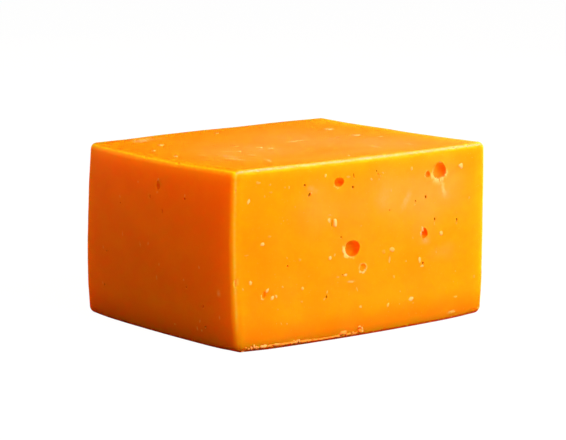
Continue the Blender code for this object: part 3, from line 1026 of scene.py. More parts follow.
@dataclass
class CheddarBody:
    """The block itself: one closed mesh, fine where its eyes, pits and chips are."""

    form: BlockForm
    nicks: Nicks
    cells: int = 48
    edge_cells: int = 6
    edge_zone: float = 3.0 * MM
    rounds: int = 7
    growth: float = 0.7
    slack: float = 1.7
    # Painted glow and painted highlight of each edge, standing in for light through the thin cheese.
    glows: tuple[EdgeGlow, ...] = (
        EdgeGlow((0, -1, 1), 0.4, (0, 0.7, 2.0), 0.68),
        EdgeGlow((1, -1, 0), 0.5, (2.2, 1.5, 0), 0.95),
        EdgeGlow((-1, -1, 0), 0.65, (1.2, 2.2, 0), 0.3),
        EdgeGlow((-1, 0, 1), 1.0, (0.7, 0, 2.2), 0.14),
        EdgeGlow((1, 0, 1), 0.75, (4.5, 0, 1.2), 0.15),
        EdgeGlow((0, 1, 1), 0.3, (0, 1.2, 1.2), 0.1),
        EdgeGlow((1, 1, 0), 0.4, (1.5, 1.5, 0), 0.3),
        EdgeGlow((-1, 1, 0), 0.3, (1.0, 2.0, 0), 0.05),
    )
    crest_width: float = 0.9
    batch: int = 20000
    eye_zone: float = 0.72
    chip_zone: float = 0.8
    chips: list[Chip] = field(init=False)

    def __post_init__(self) -> None:
        """Draws the chips once, for the mesh's fineness and for the relief."""
        self.chips = self.nicks.all()

    def graded(self, lines: np.ndarray) -> np.ndarray:
        """Moves evenly spaced grid lines so that several fall within each rounded edge.

        Args:
            lines: Places on an even grid, one a row.

        Returns:
            The places on the graded grid.
        """
        count = np.rint((lines + 1) / 2 * self.cells)
        from_edge = np.minimum(count, self.cells - count)
        zone = self.edge_zone / self.form.half
        within = zone * from_edge / self.edge_cells
        inner = (from_edge - self.edge_cells) / (self.cells / 2 - self.edge_cells)
        inset = np.where(from_edge <= self.edge_cells, within, zone + (1 - zone) * inner)
        return np.copysign(1 - inset, lines)

    def cage(self) -> bmesh.types.BMesh:
        """A cube split into a graded grid of triangles, its points still places in the unit cube.

        Returns:
            The cube.
        """
        bm = bmesh.new()
        bmesh.ops.create_cube(bm, size=2)
        bmesh.ops.subdivide_edges(bm, edges=bm.edges[:], cuts=self.cells - 1, use_grid_fill=True)
        for vert, place in zip(bm.verts, self.graded(np.array([v.co for v in bm.verts]))):
            vert.co = place
        bmesh.ops.triangulate(bm, faces=bm.faces[:])
        return bm

    def fine_spots(self) -> np.ndarray:
        """Where the mesh has to be fine: centre, radius and edge length, one spot a row.

        Returns:
            The spots, in metres.
        """
        rows = []
        for eye in EYES + PITS:
            frame = self.form.frame(eye.face, eye.along * MM, eye.up * MM)
            rows.append((*frame.origin, eye.reach * self.eye_zone, eye.grain))
        for chip in self.chips:
            rows.append((*chip.frame.origin, chip.reach * self.chip_zone, chip.grain))
        for smear in SMEARS:
            frame = self.form.frame(smear.face, smear.along * MM, smear.up * MM)
            rows.append((*frame.origin, max(smear.width, smear.height) * MM / 2, smear.grain))
        return np.array(rows)

    def wanted(self, points: np.ndarray, spots: np.ndarray) -> np.ndarray:
        """Edge length wanted at each point, growing evenly away from the fine spots.

        Args:
            points: Points, one a row.
            spots: The fine spots.

        Returns:
            One length for each point, in metres.
        """
        lengths = []
        for start in range(0, len(points), self.batch):
            gaps = points[start : start + self.batch, None, :] - spots[None, :, :3]
            away = np.maximum(np.linalg.norm(gaps, axis=2) - spots[:, 3], 0)
            lengths.append((spots[:, 4] + self.growth * away).min(axis=1))
        return np.concatenate(lengths)

    def refine(self, bm: bmesh.types.BMesh) -> None:
        """Splits the edges that are too long for the relief that will be pressed there.

        Args:
            bm: The cage, which gets finer.
        """
        spots = self.fine_spots()
        for _ in range(self.rounds):
            bm.verts.index_update()
            bm.edges.index_update()
            points = self.form.skin(np.array([v.co for v in bm.verts]))
            ends = np.array([(e.verts[0].index, e.verts[1].index) for e in bm.edges])
            first, second = points[ends[:, 0]], points[ends[:, 1]]
            length = np.linalg.norm(first - second, axis=1)
            split = length > self.slack * self.wanted((first + second) / 2, spots)
            if not split.any():
                break
            sides = np.array([[e.index for e in f.edges] for f in bm.faces])
            whole = split[sides].sum(axis=1) == 2
            while whole.any():
                split[sides[whole]] = True
                whole = split[sides].sum(axis=1) == 2
            edges = [edge for edge, wanted in zip(bm.edges, split) if wanted]
            bmesh.ops.subdivide_edges(
                bm, edges=edges, cuts=1, use_grid_fill=True, use_single_edge=True
            )
            bmesh.ops.triangulate(bm, faces=[f for f in bm.faces if len(f.verts) > 3])

    def edge_marks(self, places: np.ndarray) -> dict[Mark, np.ndarray]:
        """Marks the painted glow and the painted highlight on the crest of each edge.

        Args:
            places: Places of the mesh's points in the unit cube.

        Returns:
            The two marks, from 0 to 1.
        """
        marks = {RIM: np.zeros(len(places)), CREST: np.zeros(len(places))}
        for glow in self.glows:
            signs = np.array(glow.signs)
            held = signs != 0
            gaps = (1 - places[:, held] * signs[held]) * self.form.half[held] / MM
            far = (gaps / np.array(glow.reach)[held]).sum(axis=1)
            near = gaps.sum(axis=1) / self.crest_width
            marks[RIM] = np.maximum(marks[RIM], glow.strength * np.exp(-far))
            marks[CREST] = np.maximum(marks[CREST], glow.crest * np.exp(-(near**2)))
        return marks

    def shaped(self, bm: bmesh.types.BMesh) -> bpy.types.Mesh:
        """Turns the cage into the smooth block's mesh.

        Args:
            bm: The cage, which is freed.

        Returns:
            The mesh.
        """
        for vert, point in zip(bm.verts, self.form.skin(np.array([v.co for v in bm.verts]))):
            vert.co = point
        bmesh.ops.recalc_face_normals(bm, faces=bm.faces[:])
        mesh = mesh_of(bm, "cheddar_body")
        mesh.shade_smooth()
        return mesh

    def build(self) -> bpy.types.Object:
        """Makes the mesh with its relief and its marks.

        Returns:
            The body's object.
        """
        bm = self.cage()
        self.refine(bm)
        edges = self.edge_marks(np.array([v.co for v in bm.verts]))
        mesh = self.shaped(bm)
        count = len(mesh.vertices)
        points, normals = np.empty(count * 3), np.empty(count * 3)
        mesh.vertices.foreach_get("co", points)
        mesh.vertex_normals.foreach_get("vector", normals)
        marks = {mark: np.zeros(count) for mark in Mark} | edges
        skin = Skin(points.reshape(-1, 3), normals.reshape(-1, 3), marks)
        skin.points += skin.normals * self.form.swell(skin.points)[:, None]
        for number, smear in enumerate(SMEARS):
            smear.press(skin, self.form, number)
        for number, chip in enumerate(self.chips):
            chip.press(skin, number)
        for number, eye in enumerate(EYES + PITS):
            eye.press(skin, self.form, number)
        mesh.vertices.foreach_set("co", skin.points.ravel())
        for mark, values in skin.marks.items():
            layer = mesh.attributes.new(mark.value, "FLOAT", "POINT")
            layer.data.foreach_set("value", np.clip(values, 0, 1))
        mesh.update()
        return linked("cheddar_body", mesh)


@dataclass(frozen=True)
class Fleck:
    """A pale scrap of curd on a face. Sizes are in millimetres, and lean is in degrees.

    tone is how pale it is, from 0 to 1, and stand is its thickness as a share of its smaller side.
    """

    face: Face
    along: float
    up: float
    width: float
    height: float
    lean: float = 0
    tone: float = 0.7
    stand: float = 0.3


FLECKS = (
    Fleck(FRONT, -44.7, 46.3, 0.9, 1.6, lean=12, tone=0.8),
    Fleck(FRONT, -41.3, 51.7, 1.7, 1.0, tone=0.35, stand=0.15),
    Fleck(FRONT, -17.0, 51.8, 0.8, 1.2, lean=8, tone=0.7),
    Fleck(FRONT, -40.0, 32.9, 1.3, 1.2, tone=0.85),
    Fleck(FRONT, -44.2, 21.5, 1.1, 1.3, tone=0.75),
    Fleck(FRONT, -46.8, 19.7, 0.7, 0.8, tone=0.5),
    Fleck(FRONT, -38.3, 18.5, 0.9, 1.5, lean=30, tone=0.85),
    Fleck(FRONT, -25.5, 17.7, 1.1, 1.0, lean=-40, tone=0.6),
    Fleck(FRONT, -15.2, 26.0, 1.3, 1.2, lean=-35, tone=0.8),
    Fleck(FRONT, -13.5, 26.7, 0.6, 1.0, lean=30, tone=0.5),
    Fleck(FRONT, -9.3, 20.0, 1.4, 0.9, tone=0.8),
    Fleck(FRONT, -12.3, 19.7, 1.3, 0.6, tone=0.35, stand=0.15),
    Fleck(FRONT, -7.1, 17.6, 1.9, 0.6, lean=4, tone=0.5, stand=0.2),
    Fleck(FRONT, 9.2, 25.9, 1.9, 1.6, tone=0.55, stand=0.2),
    Fleck(FRONT, 5.7, 25.7, 1.5, 1.5, tone=0.25, stand=0.12),
    Fleck(FRONT, 30.3, 28.6, 1.7, 1.5, tone=0.65, stand=0.2),
    Fleck(FRONT, 8.2, 22.6, 0.7, 2.1, lean=6, tone=0.6),
    Fleck(FRONT, 20.9, 21.0, 0.9, 2.2, lean=-4, tone=0.85),
    Fleck(FRONT, 21.9, 19.1, 1.6, 0.8, lean=-8, tone=0.8),
    Fleck(FRONT, -3.5, 9.2, 1.0, 0.9, tone=0.65),
    Fleck(FRONT, 7.5, 8.4, 0.9, 1.5, lean=25, tone=0.65),
    Fleck(FRONT, 12.5, 12.1, 0.5, 0.5, tone=0.5),
    Fleck(FRONT, 12.2, 8.1, 0.5, 0.5, tone=0.5),
    Fleck(FRONT, 35.2, 2.4, 2.9, 0.8, lean=5, tone=0.45, stand=0.2),
    Fleck(FRONT, -3.9, 3.0, 1.3, 0.6, tone=0.75),
    Fleck(FRONT, -3.0, 2.4, 0.6, 1.3, lean=-30, tone=0.9),
    Fleck(FRONT, -2.8, 1.5, 0.6, 1.1, lean=5, tone=0.85),
    Fleck(FRONT, -15.6, 37.8, 1.4, 1.1, lean=70, tone=1.0),
    Fleck(FRONT, -13.2, 36.8, 1.6, 2.7, lean=6, tone=0.9),
    Fleck(FRONT, -15.5, 39.4, 1.6, 0.5, tone=0.4),
    Fleck(FRONT, 17.1, 9.1, 2.1, 1.5, tone=0.9),
    Fleck(FRONT, 38.7, 49.4, 1.9, 1.9, lean=30, tone=0.75),
    Fleck(FRONT, -36.5, 16.0, 1.6, 1.1, lean=-50, tone=0.95),
    Fleck(FRONT, -35.1, 16.3, 1.0, 0.7, lean=60, tone=0.8),
    Fleck(FRONT, -30.4, 49.3, 0.5, 1.0, tone=0.45),
    Fleck(FRONT, -31.9, 49.5, 0.5, 0.6, tone=0.35),
    Fleck(FRONT, -37.2, 50.8, 1.0, 0.7, tone=0.3),
    Fleck(FRONT, -39.1, 47.4, 0.5, 0.9, tone=0.35),
    Fleck(FRONT, -36.9, 48.4, 1.3, 0.5, tone=0.25, stand=0.15),
    Fleck(FRONT, -37.4, 35.0, 1.2, 0.6, tone=0.3),
    Fleck(FRONT, -3.2, 34.8, 0.8, 0.6, tone=0.3),
    Fleck(FRONT, -31.2, 27.8, 0.8, 0.6, lean=50, tone=0.35),
    Fleck(FRONT, -26.5, 26.7, 1.0, 0.9, tone=0.3, stand=0.15),
    Fleck(FRONT, -45.4, 30.0, 1.8, 0.5, tone=0.3, stand=0.2),
    Fleck(FRONT, -32.9, 19.0, 0.6, 0.8, lean=-40, tone=0.5),
    Fleck(FRONT, -25.9, 13.6, 0.9, 0.7, tone=0.4),
    Fleck(FRONT, -34.6, 12.2, 0.7, 0.5, tone=0.3),
    Fleck(FRONT, -4.8, 14.9, 0.4, 1.9, lean=-20, tone=0.6),
    Fleck(FRONT, -33.4, 7.6, 1.1, 0.5, lean=60, tone=0.4),
    Fleck(FRONT, -31.4, 7.4, 0.6, 0.6, tone=0.5),
    Fleck(FRONT, -16.4, 15.5, 0.5, 1.1, lean=25, tone=0.6),
    Fleck(FRONT, -17.5, 13.3, 0.6, 0.9, lean=30, tone=0.5),
    Fleck(FRONT, 9.9, 17.1, 0.7, 1.0, tone=0.5),
    Fleck(FRONT, 15.0, 21.5, 0.7, 0.6, tone=0.4),
    Fleck(FRONT, 36.7, 15.5, 0.7, 0.6, tone=0.45),
    Fleck(FRONT, 35.8, 12.2, 0.5, 0.5, tone=0.35),
    Fleck(FRONT, 36.7, 7.1, 1.6, 0.8, tone=0.4, stand=0.2),
    Fleck(FRONT, 28.1, 22.9, 0.5, 0.9, tone=0.4),
    Fleck(FRONT, 3.8, 48.7, 0.4, 0.8, tone=0.4),
    Fleck(FRONT, 5.4, 50.6, 0.6, 0.9, lean=-30, tone=0.5),
    Fleck(FRONT, 0.8, 49.0, 0.8, 0.9, lean=-50, tone=0.5),
    Fleck(FRONT, 17.3, 50.7, 1.0, 1.1, tone=0.55),
    Fleck(FRONT, 18.7, 39.1, 0.8, 0.8, tone=0.45),
    Fleck(FRONT, 27.2, 32.2, 0.5, 1.4, tone=0.4),
    Fleck(FRONT, 37.0, 31.1, 0.9, 0.9, tone=0.3),
    Fleck(FRONT, 42.8, 38.7, 1.0, 0.9, tone=0.35),
    Fleck(FRONT, 29.5, 51.7, 1.2, 0.6, tone=0.3),
    Fleck(FRONT, -22.2, 46.9, 0.4, 1.1, lean=10, tone=0.55),
    Fleck(FRONT, -8.3, 50.6, 1.4, 0.7, tone=0.35),
    Fleck(FRONT, 8.7, 44.7, 0.6, 1.2, tone=0.4),
    Fleck(FRONT, 22.1, 30.9, 0.9, 1.7, lean=-20, tone=0.75, stand=0.5),
    Fleck(FRONT, 27.9, 46.4, 0.7, 0.9, lean=20, tone=0.8),
    Fleck(FRONT, 30.3, 46.1, 0.8, 1.1, lean=-15, tone=0.9),
    Fleck(FRONT, 31.9, 47.2, 0.7, 0.8, lean=-50, tone=0.8),
    Fleck(TOP, -32.6, 22.9, 2.5, 2.0, lean=141, tone=0.8),
    Fleck(TOP, -41.8, 13.7, 2.2, 1.5, lean=141, tone=0.6),
    Fleck(TOP, -43.0, -0.4, 2.2, 1.5, lean=141, tone=0.8),
    Fleck(TOP, -2.8, 33.0, 2.2, 1.8, lean=141, tone=0.4),
    Fleck(TOP, -22.1, -5.3, 2.0, 1.5, lean=146, tone=0.85, stand=0.2),
    Fleck(TOP, -24.1, -14.6, 1.5, 3.4, lean=170, tone=0.7, stand=0.2),
    Fleck(TOP, -11.6, -2.4, 2.4, 2.6, lean=133, tone=0.75, stand=0.15),
    Fleck(TOP, -9.8, -5.7, 2.3, 1.6, lean=111, tone=0.95, stand=0.2),
    Fleck(TOP, 23.1, 1.3, 2.2, 1.3, lean=141, tone=0.5, stand=0.2),
    Fleck(TOP, 34.0, -7.8, 2.6, 1.5, lean=141, tone=0.7, stand=0.2),
    Fleck(TOP, 33.0, 17.8, 4.2, 2.6, lean=139, tone=1.0, stand=0.12),
    Fleck(TOP, 30.4, 0.3, 3.0, 3.4, lean=174, tone=0.95, stand=0.12),
    Fleck(TOP, -16.2, 4.9, 1.4, 2.8, lean=150, tone=0.4, stand=0.2),
    Fleck(TOP, 8.3, 2.5, 1.5, 3.4, lean=81, tone=0.8, stand=0.15),
    Fleck(TOP, -4.2, -37.7, 1.8, 1.6, lean=141, tone=0.7),
)


# The crumbs that show on the lower front edge, from its left end.
CRUMBS = (
    Fleck(FRONT, -46.6, 0.5, 1.0, 0.6, tone=0.55),
    Fleck(FRONT, -44.9, 1.1, 0.7, 1.0, tone=0.42),
    Fleck(FRONT, -44.0, 1.3, 0.8, 1.3, lean=-10, tone=0.51),
    Fleck(FRONT, -43.1, 1.75, 1.6, 0.7, lean=80, tone=0.59),
    Fleck(FRONT, -42.3, 1.3, 0.8, 1.2, lean=20, tone=0.51),
    Fleck(FRONT, -40.4, 1.4, 1.3, 0.9, tone=0.68),
    Fleck(FRONT, -39.5, 1.4, 1.9, 1.0, tone=0.81),
    Fleck(FRONT, -37.6, 1.3, 2.0, 0.7, tone=0.27),
    Fleck(FRONT, -35.2, 1.35, 2.0, 0.9, lean=10, tone=0.42),
    Fleck(FRONT, -32.9, 1.2, 2.4, 0.7, tone=0.21),
    Fleck(FRONT, -31.4, 1.2, 1.8, 0.65, tone=0.21),
    Fleck(FRONT, -29.9, 1.25, 1.6, 0.8, lean=15, tone=0.27),
    Fleck(FRONT, -28.6, 1.25, 1.3, 0.7, tone=0.42),
    Fleck(FRONT, -27.9, 1.4, 0.9, 1.1, lean=30, tone=0.59),
    Fleck(FRONT, -27.0, 1.5, 0.8, 1.3, lean=-10, tone=0.68),
    Fleck(FRONT, -25.3, 1.2, 2.4, 0.8, tone=0.24),
    Fleck(FRONT, -23.4, 1.15, 2.2, 0.7, tone=0.21),
    Fleck(FRONT, -21.2, 1.1, 2.6, 0.6, tone=0.18),
    Fleck(FRONT, -19.0, 1.05, 2.6, 0.6, tone=0.18),
    Fleck(FRONT, -16.8, 1.05, 2.6, 0.6, tone=0.21),
    Fleck(FRONT, -14.6, 1.1, 2.6, 0.6, tone=0.21),
    Fleck(FRONT, -12.6, 1.1, 2.2, 0.65, tone=0.24),
    Fleck(FRONT, -10.4, 2, 3.0, 1.3, lean=-8, tone=0.3),
    Fleck(FRONT, -9.8, 1.7, 1.6, 0.8, tone=0.27),
    Fleck(FRONT, -8.2, 1.3, 2.2, 0.6, tone=0.24),
    Fleck(FRONT, -6.6, 1.3, 0.6, 1.0, tone=0.42),
    Fleck(FRONT, -5.9, 1.15, 1.6, 0.6, tone=0.24),
    Fleck(FRONT, -3.9, 1.7, 1.6, 1.4, tone=0.05),
)


class Scraps:
    """Collects irregular scraps of curd in one mesh.

    bumps are the fineness and the strength of the two noises that shape a scrap.
    """

    bumps: ClassVar[tuple[Span, ...]] = ((0.9, 1.0), (2.1, 0.6))
    tone_fineness: ClassVar[float] = 1.7
    tone_spread: ClassVar[float] = 0.3
    apart: ClassVar[float] = 50

    def __init__(self, name: str, seed: int) -> None:
        """Starts an empty mesh.

        Args:
            name: Name of the mesh and its object.
            seed: Seed of the scraps' shapes.
        """
        self.name = name
        self.bm = bmesh.new()
        self.tone = self.bm.verts.layers.float.new(TONE)
        self.draw = random.Random(seed)

    def add(self, matrix: Matrix, tone: float, rounds: int, crumple: float = 0.5) -> None:
        """Adds one scrap.

        Args:
            matrix: Turns a unit ball into the scrap's place and size.
            tone: How pale it is, from 0 to 1.
            rounds: How fine its mesh is: 1 for 20 faces and 2 for 80.
            crumple: How far its surface departs from a ball.
        """
        made = bmesh.ops.create_icosphere(self.bm, subdivisions=rounds, radius=1)
        offset = Vector([self.draw.uniform(-self.apart, self.apart) for _ in range(3)])
        for vert in made["verts"]:
            bump = sum(high * noise.noise(vert.co * fine + offset) for fine, high in self.bumps)
            vert.co *= 1 + crumple * bump
            change = self.tone_spread * noise.noise(vert.co * self.tone_fineness - offset)
            vert[self.tone] = min(1, max(0, tone * (1 + change)))
        bmesh.ops.transform(self.bm, matrix=matrix, verts=made["verts"])

    def finish(self) -> bpy.types.Object:
        """Writes the mesh and makes its object.

        Returns:
            The scraps' object.
        """
        bmesh.ops.recalc_face_normals(self.bm, faces=self.bm.faces[:])
        mesh = mesh_of(self.bm, self.name)
        mesh.shade_smooth()
        return linked(self.name, mesh)


def scrap_matrix(frame: SkinFrame, size: tuple[float, float, float], sink: float) -> Matrix:
    """Places a unit ball on the skin.

    Args:
        frame: Frame on the skin.
        size: Width, thickness and height in metres.
        sink: How far its middle lies under the skin, as a share of half its thickness.

    Returns:
        The matrix that turns a unit ball into the scrap.
    """
    turned = Matrix([Vector(row) for row in frame.basis]).transposed().to_4x4()
    half = [part / 2 for part in size]
    middle = Vector(frame.moved(inward=half[1] * sink).origin)
    return Matrix.Translation(middle) @ turned @ Matrix.Diagonal((*half, 1))


@dataclass(frozen=True)
class Strewing:
    """Small scraps strewn over one face: how many, and how much of the face they use."""

    face: Face
    count: int
    along: Span
    up: Span


@dataclass(frozen=True)
class CurdFlecks:
    """Pale flecks of curd that the cut dragged over the faces. Sizes are in millimetres."""

    form: BlockForm
    strewn: tuple[Strewing, ...] = (
        Strewing(FRONT, 20, (-46, 46), (3, 52)),
        Strewing(TOP, 20, (-45, 45), (-38, 38)),
        Strewing(BACK, 90, (-46, 46), (3, 53)),
        Strewing(RIGHT, 75, (-38, 38), (3, 53)),
    )
    seed: int = 31
    usual: float = 0.42
    spread: float = 0.38
    large_share: float = 0.12
    larger: float = 2.4
    large_tone: Span = (0.5, 0.9)
    small_tone: Span = (0.15, 0.55)
    height_share: Span = (0.7, 1.7)
    most_lean: float = 70
    thinnest: float = 0.16
    rounder_over: float = 0.45
    sink: float = 0.25

    def place(self, scraps: Scraps, fleck: Fleck) -> None:
        """Adds one fleck to the mesh.

        Args:
            scraps: The mesh that collects them.
            fleck: The fleck.
        """
        frame = self.form.frame(fleck.face, fleck.along * MM, fleck.up * MM)
        smaller = min(fleck.width, fleck.height)
        thick = max(self.thinnest, smaller * fleck.stand)
        size = (fleck.width * MM, thick * MM, fleck.height * MM)
        rounds = 2 if smaller > self.rounder_over else 1
        matrix = scrap_matrix(frame.leant(math.radians(fleck.lean)), size, self.sink)
        scraps.add(matrix, fleck.tone, rounds)

    def random_flecks(self) -> list[Fleck]:
        """Small flecks strewn over the faces, and larger ones on the two sides behind.

        Returns:
            The flecks.
        """
        draw = random.Random(self.seed)
        flecks = []
        for strewing in self.strewn:
            behind = strewing.face in (BACK, RIGHT)
            for _ in range(strewing.count):
                large = behind and draw.random() < self.large_share
                size = self.usual * (self.larger if large else 1)
                size *= math.exp(draw.gauss(0, self.spread))
                tone = draw.uniform(*(self.large_tone if large else self.small_tone))
                along = draw.uniform(*strewing.along)
                up = draw.uniform(*strewing.up)
                height = size * draw.uniform(*self.height_share)
                lean = draw.uniform(-self.most_lean, self.most_lean)
                flecks.append(Fleck(strewing.face, along, up, size, height, lean, tone))
        return flecks

    def build(self) -> bpy.types.Object:
        """Makes every fleck in one mesh.

        Returns:
            The flecks' object.
        """
        scraps = Scraps("curd_flecks", self.seed)
        for fleck in FLECKS + tuple(self.random_flecks()):
            self.place(scraps, fleck)
        return scraps.finish()


@dataclass(frozen=True)
class CrumbLine:
    """Crumbs that cling to the foot of one face. Places and sizes are in millimetres."""

    face: Face
    start: float
    end: float
    count: int
    up: Span
    size: Span
    tone: Span


@dataclass(frozen=True)
class EdgeCrumbs:
    """Torn curd along the lower edges, thickest on the left half of the front edge."""

    form: BlockForm
    lines: tuple[CrumbLine, ...] = (
        CrumbLine(FRONT, -46.0, -24.0, 18, (1.2, 1.7), (0.6, 1.2), (0.05, 0.4)),
        CrumbLine(FRONT, -24.0, -5.0, 12, (1.1, 1.4), (0.5, 1.1), (0.05, 0.3)),
        CrumbLine(FRONT, 0.0, 43.0, 12, (0.5, 0.9), (0.25, 0.6), (0.2, 0.5)),
        CrumbLine(LEFT, -36.0, 36.0, 20, (0.5, 1.0), (0.25, 0.7), (0.2, 0.55)),
        CrumbLine(BACK, -43.0, 43.0, 30, (0.5, 1.2), (0.3, 0.9), (0.4, 0.8)),
        CrumbLine(RIGHT, -36.0, 36.0, 22, (0.5, 1.0), (0.25, 0.8), (0.3, 0.7)),
    )
    seed: int = 47
    lowest: float = 0.04 * MM
    overhang: float = 1.3
    sink: float = 0.2
    thickness: float = 0.8
    crumple: float = 0.35
    tilt: float = 0.35
    depth_share: Span = (0.3, 0.5)
    height_share: Span = (0.35, 0.75)
    rounds: int = 2

    def add_shown(self, scraps: Scraps) -> None:
        """Adds the crumbs that show on the lower front edge.

        Args:
            scraps: The mesh that collects them.
        """
        for crumb in CRUMBS:
            frame = self.form.frame(crumb.face, crumb.along * MM, crumb.up * MM)
            frame = frame.leant(math.radians(crumb.lean))
            thick = self.thickness * min(crumb.width, crumb.height)
            size = (crumb.width * MM, thick * MM, crumb.height * MM)
            scraps.add(scrap_matrix(frame, size, self.sink), crumb.tone, self.rounds, self.crumple)

    def add_line(self, scraps: Scraps, line: CrumbLine) -> None:
        """Adds smaller crumbs, spread evenly along the foot of one face.

        Args:
            scraps: The mesh that collects them.
            line: Where they are, how many and how large.
        """
        draw = scraps.draw
        for number in range(line.count):
            share = (number + draw.uniform(0, 1)) / line.count
            along = line.start + (line.end - line.start) * share
            width = draw.uniform(*line.size) * MM
            depth = width * draw.uniform(*self.depth_share)
            height = width * draw.uniform(*self.height_share)
            frame = self.form.frame(line.face, along * MM, draw.uniform(*line.up) * MM)
            foot = self.lowest + height / 2 * self.overhang
            frame = frame.moved(rise=max(0.0, foot - frame.origin[2]))
            frame = frame.leant(draw.uniform(-self.tilt, self.tilt))
            matrix = scrap_matrix(frame, (width, depth, height), self.sink)
            scraps.add(matrix, draw.uniform(*line.tone), self.rounds)

    def build(self) -> bpy.types.Object:
        """Makes every crumb in one mesh.

        Returns:
            The crumbs' object.
        """
        scraps = Scraps("edge_crumbs", self.seed)
        self.add_shown(scraps)
        for line in self.lines:
            self.add_line(scraps, line)
        return scraps.finish()


class Shade:
    """A shader socket that adds Math nodes when it is used in an expression."""

    def __init__(self, bench: "Bench", socket: bpy.types.NodeSocket) -> None:
        """Wraps a socket.

        Args:
            bench: Where new nodes are added.
            socket: The output socket.
        """
        self.bench = bench
        self.socket = socket

    def maths(self, operation: str, *values: Any) -> "Shade":
        """Adds one Math node.

        Args:
            operation: The node's operation.
            values: Its inputs, as numbers or shades.

        Returns:
            The node's result.
        """
        sockets = dict(enumerate(values))
        return self.bench.node("ShaderNodeMath", {"operation": operation}, sockets)

    def __add__(self, other: Any) -> "Shade":
        """This plus other."""
        return self.maths("ADD", self, other)

    def __radd__(self, other: Any) -> "Shade":
        """Other plus this."""
        return self.maths("ADD", other, self)

    def __sub__(self, other: Any) -> "Shade":
        """This minus other."""
        return self.maths("SUBTRACT", self, other)

    def __rsub__(self, other: Any) -> "Shade":
        """Other minus this."""
        return self.maths("SUBTRACT", other, self)

    def __mul__(self, other: Any) -> "Shade":
        """This times other."""
        return self.maths("MULTIPLY", self, other)

    def __rmul__(self, other: Any) -> "Shade":
        """Other times this."""
        return self.maths("MULTIPLY", other, self)

    def levels(self, base: float, gain: float) -> "Shade":
        """The base where this is 0, and the base and the gain where it is 1."""
        return base + gain * self

    def ramp(self, low: float, high: float, bottom: float = 0, top: float = 1) -> "Shade":
        """Maps low to high smoothly onto bottom to top, and holds it beyond them.

        Args:
            low: Where the ramp begins.
            high: Where it ends.
            bottom: What it gives up to low.
            top: What it gives from high on.

        Returns:
            The ramp's value.
        """
        settings = {"interpolation_type": "SMOOTHSTEP"}
        sockets = {"Value": self, "From Min": low, "From Max": high, "To Min": bottom, "To Max": top}
        return self.bench.node("ShaderNodeMapRange", settings, sockets, "Result")


@dataclass(frozen=True)
class Grain:
    """A noise: the size of its features in millimetres, how many finer ones it adds, how strongly."""

    size: float
    detail: float = 2
    rough: float = 0.5


class Bench:
    """One material and the nodes that are added to it."""

    def __init__(self, name: str) -> None:
        """Starts a material with no nodes.

        Args:
            name: The material's name.
        """
        self.material = bpy.data.materials.new(name)
        self.material.use_nodes = True
        self.tree = self.material.node_tree
        self.tree.nodes.clear()

    def node(
        self, kind: str, settings: dict[str, Any], sockets: dict[Any, Any], output: Any = 0
    ) -> Shade:
        """Adds a node, sets it, and fills its sockets.

        Args:
            kind: The node's type.
            settings: Its own settings, set before its sockets.
            sockets: Values or shades for its inputs, by name or number.
            output: Which of its outputs is wanted.

        Returns:
            The wanted output.
        """
        node = self.tree.nodes.new(kind)
        for name, value in settings.items():
            setattr(node, name, value)
        for key, value in sockets.items():
            if isinstance(value, Shade):
                self.tree.links.new(value.socket, node.inputs[key])
            else:
                node.inputs[key].default_value = value
        return Shade(self, node.outputs[output])

    def millimetres(self, stretch: Colour = (1, 1, 1)) -> Shade:
        """Object coordinates in millimetres, stretched along each axis.

        Args:
            stretch: How long a pattern is drawn out along each axis.

        Returns:
            The coordinates.
        """
        place = self.node("ShaderNodeTexCoord", {}, {}, "Object")
        scale = tuple(1 / MM / part for part in stretch)
        return self.node("ShaderNodeVectorMath", {"operation": "MULTIPLY"}, {0: place, 1: scale})

    def noise(self, place: Shade, grain: Grain) -> Shade:
        """Smooth noise from 0 to 1 over a place in millimetres."""
        own = {"Scale": 1 / grain.size, "Detail": grain.detail, "Roughness": grain.rough}
        return self.node("ShaderNodeTexNoise", {}, {"Vector": place} | own, "Fac")

    def attribute(self, name: str) -> Shade:
        """A value that the mesh has at each point."""
        return self.node("ShaderNodeAttribute", {"attribute_name": name}, {}, "Fac")

    def mark(self, mark: Mark) -> Shade:
        """How strongly the skin is marked."""
        return self.attribute(mark.value)

    def mix(self, share: Any, first: Any, second: Any) -> Shade:
        """Mixes two colours.

        Args:
            share: How much of the second colour shows, from 0 to 1.
            first: The first colour.
            second: The second colour.

        Returns:
            The mixed colour.
        """
        colours = [c if isinstance(c, Shade) else (*c, 1.0) for c in (first, second)]
        sockets = {0: share, 6: colours[0], 7: colours[1]}
        return self.node("ShaderNodeMix", {"data_type": "RGBA"}, sockets, 2)

    def bump(self, height: Shade, distance: float) -> Shade:
        """A bump whose height of 1 stands for a distance in metres."""
        sockets = {"Height": height, "Distance": distance, "Strength": 1.0}
        return self.node("ShaderNodeBump", {}, sockets, "Normal")

    def finish(self, surface: Shade) -> bpy.types.Material:
        """Makes a shader the material's surface.

        Args:
            surface: The shader.

        Returns:
            The material.
        """
        output = self.tree.nodes.new("ShaderNodeOutputMaterial")
        self.tree.links.new(surface.socket, output.inputs["Surface"])
        return self.material


